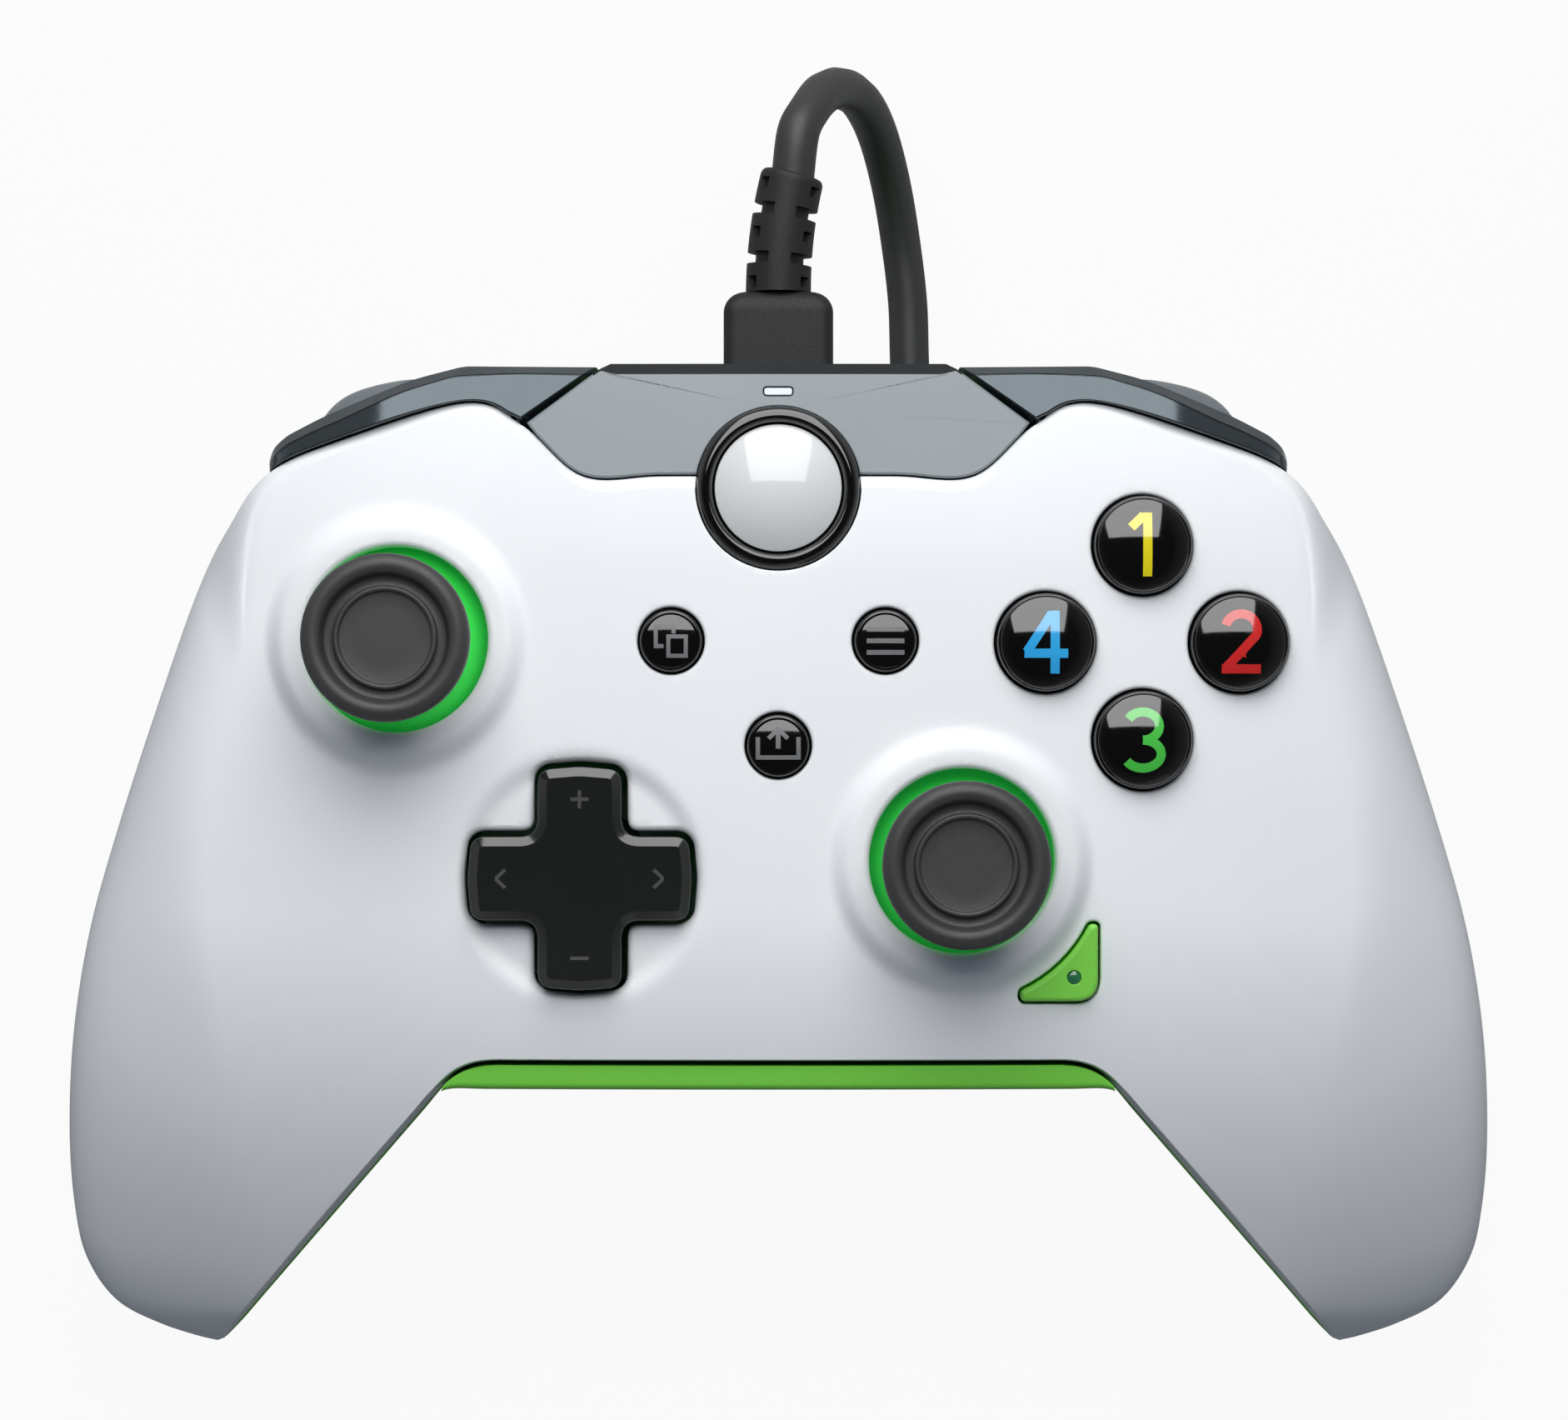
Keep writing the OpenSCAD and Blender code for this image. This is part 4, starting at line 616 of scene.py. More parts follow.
def shellLoop(name, rear, front, heights, counts):
    # outer rows, then inner rows set in by the wall, as one closed ring per station
    k = evenStations(rear, front, counts[0])[:, None]
    rows = []
    for inset, reach, count in ((0.0, 1.0, counts[1]), (case["wall"], case["inReach"], counts[2])):
        a, b = (edgeAt(line, k[:, 0] * reach) for line in (rear, front))
        wide = np.linalg.norm(b - a, axis=1)[:, None]
        rows.append(heights(a, (b - a) / wide, wide, k * reach, inset, reach, count))
    outer, inner = rows
    outer[0] = outer[0].mean(0)
    outer[-1] = outer[-1].mean(0)
    grid = np.concatenate([outer, inner[:, ::-1]], 1)
    nu, nv = grid.shape[:2]
    faces = gridFaces(nu, nv, wrapV=True)
    for col in (0, nu - 1):
        faces += [[col * nv, col * nv + j, col * nv + j + 1] for j in range(outer.shape[1], nv - 1)]
    return putMesh(name, grid, faces, 40)


def acrossRows(l, rRear, rFront, count):
    # distances from the rear edge: close rows on the rear round, even rows, close rows on the front round
    n = max(6, count // 6)
    a = np.linspace(0, np.pi / 2, n)[None, :]
    rearR, frontR = np.minimum(rRear, 0.6 * l), np.minimum(rFront, 0.3 * l)
    first = rearR * (1 - np.cos(a))
    last = l - frontR * (1 - np.cos(a[:, ::-1]))
    mid = mix(first[:, -1:], last[:, :1], np.linspace(0, 1, count - 2 * n + 2)[None, 1:-1])
    return np.concatenate([first, mid, last], 1), n


# rounds of the white half at the rear, sides and grips, the stations between them, and the rear bevel:
# its width, the share of rows below it and on it, and how steep it is
brow = {"rear": 1.2, "side": 13.0, "grip": 24.0, "front": 0.6, "toSide": (5.5, 8.0), "toGrip": (8.6, 11.4),
        "bevel": 1.3, "below": 0.35, "on": 0.6, "steep": 0.85}


def frontHeights(a, way, wide, k, inset, reach, count):
    # the seam, plus the rise of the face over it times quarter circles at the rear, front and tip
    l = wide - 2 * inset
    w = ease(*brow["toSide"], np.abs(k))
    rRear = mix(mix(brow["rear"], brow["side"], w), brow["grip"], ease(*brow["toGrip"], np.abs(k)))
    rRear = np.maximum(0.8, rRear - inset)
    rFront = np.maximum(0.5, brow["front"] - inset) + 0 * w
    d, n = acrossRows(l, rRear, rFront, count)
    g = roll(d, rRear)
    if inset == 0:  # upright wall, then a flat bevel, along the rear edge
        s = np.linspace(0, 1, n)[None, :]
        on = np.clip((s - brow["below"]) / brow["on"], 0, 1)
        fall = brow["bevel"] * brow["steep"] / np.maximum(1, plainFace(a[:, :1], a[:, 1:]) - seamAt(a[:, 1:]))
        gBevel = np.where(s < brow["below"], s / brow["below"] * (1 - fall), 1 - fall * (1 - on))
        d[:, :n] = mix(np.minimum(brow["bevel"] * on, 0.6 * l), d[:, :n], w)
        g[:, :n] = mix(gBevel, g[:, :n], w)
        mid = slice(n, d.shape[1] - n)
        d[:, mid] = mix(d[:, n - 1:n], d[:, -n:-n + 1], np.linspace(0, 1, d.shape[1] - 2 * n + 2)[None, 1:-1])
        g[:, mid] = mix(1.0, roll(d[:, mid], rRear), w)
    g = g * roll(l - d, rFront) * tipRoll(k / reach)
    p = along(a + way * inset, way, d)
    base = seamAt(p[..., 1]) + case["gap"]
    top = (faceTop if inset == 0 else plainFace)(p[..., 0], p[..., 1]) - inset
    return raised(p, base + np.maximum(0, top - base) * g)


# rounds of the green half at the middle and at the grips, with the stations where one turns into the other,
# and how much less deep the grips are at their roots and tips
keel = {"middle": 5.0, "gripRear": 17.0, "gripFront": 15.0, "toRear": (6.0, 9.5), "toFront": (6.5, 10.0),
        "strip": (5.5, 7.0), "toGrip": (7.4, 10.0), "root": (7.0, 9.6), "rootUp": 0.36, "end": (13.0, lastK),
        "endUp": 0.5}


def backHeights(a, way, wide, k, inset, reach, count):
    # the seam, less the depth of the belly or grip under it times quarter circles at the rear, front and tip
    ak = np.abs(k)
    extra = case["strip"] * (1 - ease(*keel["strip"], ak)) if inset else 0 * ak
    l = wide - 2 * inset - extra
    rRear = mix(keel["middle"], keel["gripRear"], ease(*keel["toRear"], ak)) - inset / 2
    rFront = mix(keel["middle"], keel["gripFront"], ease(*keel["toFront"], ak)) - inset / 2
    d = acrossRows(l, rRear, np.minimum(rFront, 0.5 * l), count)[0]
    p = along(a + way * inset, way, d)
    base = seamAt(p[..., 1])
    deep = (1 - keel["rootUp"] * (1 - ease(*keel["root"], ak))) * (1 - keel["endUp"] * ease(*keel["end"], ak))
    low = mix(case["belly"], base - (base + case["over"]) * deep, ease(*keel["toGrip"], ak))
    z = base - (base - low) * roll(d, rRear) * roll(l - d, rFront) * tipRoll(k / reach)
    soft = (z + np.sqrt(z * z + case["rest"])) / 2  # flattens softly where a grip rests on the table
    return raised(p, np.minimum(base, soft + inset))


faceAt = [(37.8, 33.6), (27.7, 23.5), (47.9, 23.5), (37.8, 13.4)]
smallAt = [(-11.1, 23.65), (11.1, 23.65), (0.0, 12.8)]
homeAt = (0.0, 39.5)
pad = {"arm": 11.55, "half": 4.3, "bulge": 0.35, "outer": 1.5, "inner": 1.9, "endR": 9.0, "gap": 0.55}


def padOutline(c, grow):  # a cross with slightly bowed ends, all corners rounded
    h, end = c["half"], c["arm"] - c["bulge"]
    q = np.array([[h, h], [end, h], [c["arm"], 0], [end, -h]])
    cross = []
    for t in np.radians([0, -90, -180, -270]):
        cross.append(q @ np.array([[math.cos(t), -math.sin(t)], [math.sin(t), math.cos(t)]]).T)
    line = evenly(roundCorners(np.vstack(cross), [c["inner"], c["outer"], c["endR"], c["outer"]] * 4, 8), 240)
    return line + outwards(line) * grow + dpadAt


fn = {"corner": (33.15, -13.7), "w": 8.0, "hollow": 14.75, "tipR": 0.55, "cornerR": 2.4, "gap": 0.3}


def fnOutline(c, grow):  # a rounded corner, hollowed round the right stick, with blunt tips
    x, y = c["corner"]
    sx, sy = stickAt[1]
    left, high, far, tip = x - c["w"], y + c["w"], c["hollow"], c["tipR"]
    turn = np.linspace(math.asin((high - sy) / far), -math.acos((left - sx) / far), 9)
    arc = [[sx + far * math.cos(t), sy + far * math.sin(t)] for t in turn]
    radii = [tip, c["cornerR"], tip, tip] + [0] * 7 + [tip]
    line = evenly(roundCorners([[left, y], [x, y], [x, high]] + arc, radii, 8), 180)
    return line + outwards(line) * grow


# holes of the face: depth and round of the mouth, and the radii of the round ones
well = {"stick": (14, 0.7), "face": (9, 0.4), "small": (9, 0.35), "home": (12, 0.12), "pad": (9, 0.7), "fn": (9, 0.3),
        "faceR": 5.35, "smallR": 3.5, "homeR": 8.6}
frontShell = shellLoop("frontShell", shellRear, shellFront, frontHeights, (256, 124, 26))
homeHole = circle(well["homeR"], homeAt, 128)
mouths = [("stick", circle(collar["hole"], p, 128)) for p in stickAt]
mouths += [("face", circle(well["faceR"], p)) for p in faceAt] + [("small", circle(well["smallR"], p)) for p in smallAt]
mouths += [("home", homeHole), ("pad", padOutline(pad, pad["gap"])), ("fn", fnOutline(fn, fn["gap"]))]
holes = [holeCutter(line, plainFace if kind == "home" else faceTop, *well[kind]) for kind, line in mouths]
seat(carve(frontShell, holes, 30), "whiteCase", "case", "white_case", "front_shell")
print("front shell:", len(frontShell.data.polygons), "faces")

# openings of the back half: trigger windows, cable port, headset jack, screw wells
backCut = {"window": (28.9, 52.0, 35.6), "port": ((-4.7, 40.8, 30.55), (4.7, 90, 34.95)), "jackZ": 26.6,
           "jack": [(0, -31), (4.0, -31), (4.0, -23.6), (3.2, -22.9), (3.2, -12), (0, -12)],
           "screw": [(0, -2), (3.2, -2), (2.8, 21.9), (2.8, 23.0), (1.6, 23.0), (1.6, 30), (0, 30)]}
backShell = shellLoop("backShell", backRear, backFront, backHeights, (190, 84, 26))
x0, x1, y0 = backCut["window"]
cuts = [boxSolid("window", (min(s * x0, s * x1), y0, -5), (max(s * x0, s * x1), 90, 60)) for s in (-1, 1)]
cuts += [boxSolid("port", *backCut["port"]), lathe("jackHole", backCut["jack"], (0, 0, backCut["jackZ"]), 64, "y")]
bossAt = [(s * x, y) for s in (-1, 1) for x, y in ((46, 4), (8.6, -10.2), (22, 35))]
cuts += [lathe("screwHole", backCut["screw"], (x, y, 0), 48) for x, y in bossAt]
carve(backShell, cuts, 40)
lip = {"drop": 0.5, "round": 0.7, "end": 6.55, "gap": 0.12, "foot": 0.3, "least": 0.12}


def frontLip(c):  # strip that stands up in front of the white shell: an upright, a rounded edge, a level top
    k = np.linspace(-c["end"], c["end"], 161)
    out = edgeAt(backFront, k)
    way = edgeAt(shellFront, k) - out
    wide = np.linalg.norm(way, axis=1)[:, None]
    way = way / wide
    wide = np.maximum(c["least"], wide - c["gap"])
    r = np.minimum(c["round"], 0.6 * wide)
    top = (plainFace(out[:, 0], out[:, 1] + case["strip"]) - c["drop"])[:, None]
    low = seamAt(out[:, 1])[:, None] - c["foot"]
    a = np.radians(np.linspace(180, 90, 9))[None, :]
    t = np.concatenate([0 * wide, r + r * np.cos(a), wide, wide], 1)
    z = np.concatenate([low, top - r + r * np.sin(a), top, low], 1)
    return tubeSolid("lip", raised(along(out, way, t), z), 30)


backShell = seat(joinAll("backShell", [backShell, frontLip(lip)]), "greenCase", "case", "green_case", "back_shell")
print("back shell:", len(backShell.data.polygons), "faces")


# bridge: a closed outline with its own bevel and drop at each point, under a top that slopes to the rear
bridge = {"low": 37.48, "top": 47.13, "fall": 1 / 13.2, "fallFrom": 37.8, "crown": 0.0006, "rear": 52.6, "half": 18.2,
          "bevel": 1.2, "drop": 1.3, "edge": 0.22, "under": 1.4, "gap": 0.16, "corner": (26.15, 46.35), "side": 52.25,
          "cut": 0.7, "middle": (0, 47.6), "hole": (14, 0.15), "stations": 2.75, "toRear": (51.9, 52.4),
          "slant": (46.5, 52.2), "bevelUp": (0.3, 0.93), "flat": 0.3}


def bridgeTop(x, y):  # falls evenly to the rear and by the square of x to the sides
    return bridge["top"] - bridge["fall"] * (y - bridge["fallFrom"]) - bridge["crown"] * x ** 2


def bridgePiece(c):  # the shell's edge in front, straight sides and rear; fine edges, wide bevel at the rear
    front = edgeAt(shellRear, np.linspace(-c["stations"], c["stations"], 90)) + [0, c["gap"]]
    right = np.array([c["corner"], (c["half"], c["side"]), (c["half"] - c["cut"], c["rear"])])
    line = evenly(np.vstack([front, right, right[::-1] * [-1, 1]]), 520)
    y, (slant0, slant1) = line[:, 1], c["slant"]
    rear = ease(*c["toRear"], y)
    under = np.where((y > slant0) & (y < slant1), c["under"], 0)  # sides slant in, so the slots look dark
    bevel, drop = mix(c["edge"], c["bevel"], rear), mix(c["edge"], c["drop"], rear)
    edge = [(under, c["low"], False), (0, -drop, True), (bevel, 0, True)]
    return capFromOutline("bridge", line, edge, bridgeTop, c["middle"], 14, 26, c["flat"])


def faceValues(obj, what):  # three numbers for each face of a mesh
    values = np.zeros(len(obj.data.polygons) * 3, np.float32)
    obj.data.polygons.foreach_get(what, values)
    return values.reshape(-1, 3)


bridgeObj = bridgePiece(bridge)
light = {"at": (0.0, 49.6), "w": 3.2, "h": 1.05, "round": 0.47, "hole": (1.6, 0.06), "gap": 0.14, "low": 44.6,
         "edge": [(0, -0.12), (0.08, -0.06)]}
slot = evenly(roundedBox(light["w"], light["h"], light["round"]), 64) + light["at"]
carve(bridgeObj, [holeCutter(homeHole, bridgeTop, *bridge["hole"]), holeCutter(slot, bridgeTop, *light["hole"])], 10)
dress(bridgeObj, "greyCover")
bridgeObj.data.materials.append(finish["bridgeEdge"])  # the bevel of the rear edge is darker: painted shade on the faces that tilt to the rear
y, up = faceValues(bridgeObj, "center")[:, 1] / mm, faceValues(bridgeObj, "normal")[:, 2]
onBevel = (y > bridge["rear"] - bridge["bevel"]) & (up > bridge["bevelUp"][0]) & (up < bridge["bevelUp"][1])
bridgeObj.data.polygons.foreach_set("material_index", onBevel.astype(np.int32))
seat(bridgeObj, None, "case", "grey_cover", "bridge")
lensEdge = [(0, light["low"], False)] + [(inset, rise, True) for inset, rise in light["edge"]]
lensObj = capFromOutline("statusLight", slot - outwards(slot) * light["gap"], lensEdge, bridgeTop, light["at"], 5)
seat(lensObj, "lens", "case", "light_lens", "status_light")

# bumpers: strips lofted from the shell's rear edge to the rear line, with a bevelled back edge
bumper = {"low": 37.98, "top": 45.9, "slope": 0.22, "x0": 36.5, "x1": 44.5, "bevel": 1.45, "drop": 1.25, "groove": 0.14,
          "grooveW": 0.09, "gap": 0.16, "tilt": 0.28, "level": 47.5, "under": 1.1, "corner": (26.85, 46.75),
          "stations": (3.32, 6.02), "endIn": (0.3, 0.4), "endOut": (3.2, 4.2), "lipIn": (0.1, 0.3),
          "lipDrop": (0.3, 0.09), "narrow": 3.0, "radii": [0, 6, 30, 30, 5, 3, 0],
          "rear": [[19.0, 52.35], [32.9, 52.45], [38.4, 51.0], [48.0, 47.0], [51.4, 45.2], [52.8, 44.0], [53.5, 42.4]]}


def bumperPiece(c, name, side, count=150):
    # rows across: wall, lip, eight flat rows, groove, bevel, wall; heights fall outwards and to the rear
    front = edgeAt(shellRear, mix(*c["stations"], np.linspace(0, 1, count))) + [0, c["gap"]]
    front = evenly(np.vstack([c["corner"], front]), count, False)
    rear = evenly(roundCorners(c["rear"], c["radii"], 12, False), count, False)
    wide = np.linalg.norm(rear - front, axis=1)[:, None]
    way = (rear - front) / wide
    g = np.minimum(c["grooveW"], 0.1 * wide)
    body = wide - np.minimum(c["bevel"], 0.4 * wide) - 3 * g
    flat = mix(c["lipIn"][1] * g / c["grooveW"], body, np.linspace(0, 1, 8)[None, :])
    d = [0 * wide, 0 * wide, c["lipIn"][0] + 0 * wide, flat, body + g, body + 2 * g, body + 3 * g, wide, wide]
    p = along(front, way, np.minimum(np.concatenate(d, 1), wide))
    x, span = p[..., 0], c["x1"] - c["x0"]
    u = np.clip((x - c["x0"]) / span, 0, 1)
    fall = span * (u ** 3 - u ** 4 / 2) + np.maximum(0, x - c["x1"])
    z = c["top"] - c["slope"] * fall - c["tilt"] * (p[..., 1] - c["level"])
    cut = np.array([0, *c["lipDrop"]] + [0] * 8 + [c["groove"], c["groove"], 0, c["drop"], 0])
    z = z - cut * np.minimum(1, wide / c["narrow"])
    s = lengths(rear)[:, None]
    for (deep, r), away in ((c["endIn"], s), (c["endOut"], s[-1] - s)):
        z = z - deep * (1 - roll(away, r))
    z[:, [0, -1]] = c["low"]
    end = front[0] - rear[0]
    inward = np.array([end[1], -end[0]]) / np.linalg.norm(end)
    p[0, [0, -1]] += inward * c["under"]  # the inner end slants under the bridge
    return tubeSolid(name, raised(p * [side, 1], np.maximum(z, c["low"])), 22)


# triggers: a hooked profile carried along x, drawn in at both ends, on two arms
trigger = {"x0": 30.6, "x1": 50.0, "top": 35.57, "low": 15.6, "face": 45.6, "thick": 4.2, "round": 5.2, "endIn": 0.1,
           "endR": 1.8, "core": (4.5, 27.0), "pivot": (38.2, 33.2), "lug": 2.9, "lugW": 3.4, "lugX": (31.0, 41.2),
           "armY": 46.8, "armLow": 13.0, "armTop": 0.3, "backLow": 12.0, "bowGap": 0.4,
           "rear": [[30.6, 52.0], [36, 52.1], [39.7, 52.1], [43, 51.55], [45.7, 50.7], [47.5, 49.6], [48.8, 48.2],
                    [49.6, 46.8], [50.0, 45.6]],
           "hook": [[-0.3, 11], [-0.7, 8.2], [-2.9, 3], [-5.2, 0.5], [-6.8, 0], [-7.5, 1], [-6.8, 3.4], [-5.3, 6.8]]}


def triggerPiece(c, name, side):
    # a quarter circle and a hook as one profile in y and z, moved to the rear line at each x
    x = mix(c["x0"], c["x1"], (1 - np.cos(np.linspace(0, np.pi, 61))) / 2)
    line = smoothLine(c["rear"], 10)
    back = np.interp(x, line[:, 0], line[:, 1])
    r, low, top = c["round"], c["low"], c["top"]
    bow = [[-r + r * math.cos(t), top - r + r * math.sin(t)] for t in np.radians(np.linspace(90, 0, 12))]
    hook = smoothLine(np.vstack([[0, top - r - c["bowGap"]], np.array(c["hook"]) + [0, low]]), 5)
    outer = np.vstack([bow, hook])
    inside = np.minimum(c["face"], back - c["thick"])[:, None]
    y = np.concatenate([inside, back[:, None] + outer[None, :, 0], inside], 1)
    z = np.concatenate([[top], outer[:, 1], [low + c["backLow"]]])
    yz = raised(y[..., None], np.broadcast_to(z, y.shape))
    keep = 1 - c["endIn"] + c["endIn"] * roll(np.minimum(x - c["x0"], c["x1"] - x), c["endR"])
    core = np.stack([back - c["core"][0], 0 * x + c["core"][1]], -1)[:, None, :]
    yz = core + (yz - core) * keep[:, None, None]
    parts = [tubeSolid("paddle", np.concatenate([np.broadcast_to(side * x[:, None], y.shape)[..., None], yz], -1), 40)]
    lug = arcLine(*c["pivot"], c["lug"], c["lug"], 95, 265, 24)
    arm = np.vstack([lug, [c["armY"], low + c["armLow"]], [c["armY"], top - c["armTop"]]])
    for start in c["lugX"]:
        rows = [np.column_stack([np.full(len(arm), side * (start + w)), arm]) for w in (0, c["lugW"])]
        parts.append(tubeSolid("arm", np.stack(rows), 30))
    return joinAll(name, parts)


for make, settings, kind, key, look in ((bumperPiece, bumper, "bumper", "bumperGloss", "bumper_gloss"),
                                        (triggerPiece, trigger, "trigger", "triggerSatin", "trigger_satin")):
    for side, tag in ((-1, "left"), (1, "right")):
        node = tag + "_" + kind
        seat(make(settings, tag + kind.capitalize(), side), key, node, look, node)
print("bridge, bumpers and triggers made")


# home button: domed disc in a rounded ring
def domeRows(r, top, radius, count):  # (radius, height) rows of a shallow dome, from its edge to its middle
    return [(float(v), float(top - radius + math.sqrt(radius ** 2 - v * v))) for v in np.linspace(r, 0, count)]


home = {"face": 47.64, "domeR": 6.4, "dome": 14.0, "rise": 1.6, "ring": (6.85, 8.45), "ringLow": 41.6,
        "bead": [(8.45, -0.05), (8.4, 0.2), (8.22, 0.42), (7.95, 0.58), (7.65, 0.67), (7.35, 0.69), (7.15, 0.64),
                 (7.0, 0.5), (6.85, 0.25)],
        "under": [(0, 34.35), (1.4, 34.35), (1.4, 42.2), (6.6, 42.2)], "edge": [(6.6, -0.22), (6.55, -0.08)]}
f, low, (inner, outer) = home["face"], home["ringLow"], home["ring"]
ringRows = [(inner, low), (outer, low)] + [(r, f + h) for r, h in home["bead"]] + [(inner, low)]
seat(lathe("homeRing", ringRows, (*homeAt, 0), 128), "blackGloss", "case", "black_gloss", "home_ring")
homeDome = domeRows(home["domeR"], f + home["rise"], home["dome"], 30)
homeRows = home["under"] + [(r, homeDome[0][1] + h) for r, h in home["edge"]] + homeDome
seat(lathe("homeButton", homeRows, (*homeAt, 0), 128), "homeSilver", "home_button", "home_silver", "home_button")


# marks: lines with their widths, plain numbers for the face buttons and signs for the small ones
def bars(wide, *ends):  # straight lines, each from its first two numbers to its last two
    return [(evenly([e[:2], e[2:]], 14, False), wide) for e in ends]


bold, thin = 0.95, 0.42
marks = {
    "1": bars(bold, (0.35, 3.3, 0.35, -3.3), (-1.35, 1.75, 0, 3.05)),
    "2": [(np.vstack([arcLine(0, 1.35, 1.65, 1.6, 165, -25), arcLine(-1.3, -2.9, 2, 2.1, 48, 42, 4)]), bold)]
    + bars(bold, (-1.5, -2.55, 1.55, 0.75), (-2, -2.75, 2.05, -2.75)),
    "3": [(arcLine(-0.15, 1.45, 1.7, 1.45, 150, -90), bold), (arcLine(-0.15, -1.45, 1.9, 1.45, 90, -150), bold)],
    "4": bars(bold, (0.55, 3, -2.05, -1), (-2.3, -1.15, 2.2, -1.15), (0.85, 3.25, 0.85, -3.25)),
    "view": bars(thin, (-1.75, 1.5, 0.5, 1.5), (-1.55, 1.7, -1.55, -0.75), (-1.75, -0.55, -0.75, -0.55),
                 (0.3, 1.7, 0.3, 0.75), (-0.45, 0.45, 1.75, 0.45), (-0.25, 0.65, -0.25, -1.75),
                 (-0.45, -1.55, 1.75, -1.55), (1.55, 0.65, 1.55, -1.75)),
    "menu": bars(0.5, *[(-1.95, h, 1.95, h) for h in (1.2, 0, -1.2)]),
    "share": bars(0.45, (-2.1, 0.9, -2.1, -1.35), (-2.3, -1.2, 2.3, -1.2), (2.1, 0.9, 2.1, -1.35))
    + bars(0.5, (0, 1.4, 0, -0.3)) + bars(0.45, (-1, 0.75, 0.1, 1.85), (1, 0.75, -0.1, 1.85)),
    "pad": bars(0.36, (-0.95, 8.2, 0.95, 8.2), (0, 7.25, 0, 9.15), (-0.95, -8.2, 0.95, -8.2),
                *[(s * 7.65, h, s * 8.65, 0) for s in (-1, 1) for h in (-0.95, 0.95)]),
}


def inlay(c, name, lines, at, surface, key, node):  # strokes let into a surface, each a hair prouder than the last
    strokes = [strokeSolid(line + at, wide, -c["sink"], c["proud"] + c["step"] * i, surface, c["across"])
               for i, (line, wide) in enumerate(lines)]
    seat(joinAll(name, strokes), key, node, "black_gloss")


# round buttons: a stem and a flange under the case, rim rows of (inset, rise), a dome with its mark let in
foot = {"stem": 1.4, "flange": 0.9, "flangeT": 1.4, "flangeGap": 0.4}
face = {**foot, "r": 5.05, "rise": 2.45, "dome": 13.0, "domeR": 4.62, "low": 38.1, "rows": 26, "round": 128,
        "rim": [(0, 1.12), (0.03, 1.26), (0.12, 1.38), (0.24, 1.43), (0.3, 1.4), (0.34, 1.46), (0.38, 1.58)],
        "sink": 0.3, "proud": 0.015, "step": 0.004, "across": 7, "mark": "Number"}
small = {**foot, "r": 3.2, "rise": 0.75, "dome": 14.0, "domeR": 2.78, "low": 34.5, "rows": 22, "round": 96,
         "rim": [(0, 0.22), (0.04, 0.34), (0.14, 0.45), (0.3, 0.52)],
         "sink": 0.25, "proud": 0.012, "step": 0.002, "across": 5, "mark": "Sign"}


def roundButton(c, name, at, mark, key, node):  # rows turned about z, then strokes on the dome
    z, r, wide = float(plainFace(*at)), c["r"], c["r"] + c["flange"]
    high = float(plainFace(abs(at[0]) + r + 1, at[1])) - case["wall"] - c["flangeGap"]
    low = high - c["flangeT"]
    rows = [(0, c["low"]), (c["stem"], c["low"]), (c["stem"], low), (wide, low), (wide, high), (r, high)]
    rows += [(r - inset, z + rise) for inset, rise in c["rim"]]
    rows += domeRows(c["domeR"], z + c["rise"], c["dome"], c["rows"])
    seat(lathe(name, rows, (*at, 0), c["round"], "z", 50), "blackGloss", node, "black_gloss", node)

    def dome(x, y):  # part of a ball
        return z + c["rise"] - c["dome"] + np.sqrt(c["dome"] ** 2 - (x - at[0]) ** 2 - (y - at[1]) ** 2)

    inlay(c, name + c["mark"], marks[mark], at, dome, key, node)


for tag, at, digit, key in zip(("north", "west", "east", "south"), faceAt, "1423",
                               ("markYellow", "markBlue", "markRed", "markGreen")):
    roundButton(face, "faceButton" + tag.capitalize(), at, digit, key, "face_button_" + tag)
for tag, at in zip(("view", "menu", "share"), smallAt):
    roundButton(small, tag + "Button", at, tag, "signGrey", tag + "_button")
print("buttons made")

# direction pad: cross with a bevel and a slight dish, on a hub, four legs and a pin
padTop = {"low": 46.0, "top": 49.6, "bevel": 0.95, "drop": 0.55, "dish": 0.3, "dishR": 11.5, "sink": 0.25,
          "proud": 0.012, "step": 0.002, "across": 5, "rim": [(0, -0.12), (0.05, -0.02), (0.14, 0.03)],
          "hub": (1.9, 42.6, 46.1), "leg": [(0, 38.0), (1.3, 38.0), (1.5, 38.2), (1.5, 46.1), (0, 46.1)],
          "legAt": 9.15, "pin": (0.6, 3.7, 43.6)}


def padDish(x, y):  # deepest in the middle, rises by the square of the distance from it
    r = np.hypot(x - dpadAt[0], y - dpadAt[1])
    return padTop["top"] - padTop["dish"] * (1 - np.clip(r / padTop["dishR"], 0, 1) ** 2)


def padPiece(c):  # the outline drawn in row by row, then rings to the middle
    edge = [(0, c["low"], False)] + [(inset, c["top"] - c["drop"] + rise, False) for inset, rise in c["rim"]]
    edge.append((c["bevel"], 0.0, True))
    cross = capFromOutline("cross", padOutline(pad, 0.0), edge, padDish, dpadAt, 22, 14)
    inlay(c, "directionSigns", marks["pad"], dpadAt, padDish, "padSign", "dpad_cross")
    x, y = dpadAt
    parts = [cross, rod("hub", *c["hub"], (x, y, 0), 40)]
    parts += [lathe("leg", c["leg"], (x + c["legAt"] * i, y + c["legAt"] * j, 0), 32)
              for i, j in ((1, 0), (-1, 0), (0, 1), (0, -1))]
    r, half, z = c["pin"]
    parts.append(rod("pin", r, -half, half, (x, y, z), 24, "y"))
    return joinAll("directionPad", parts, 14)


seat(padPiece(padTop), "padGloss", "dpad_cross", "black_gloss", "dpad_cross")

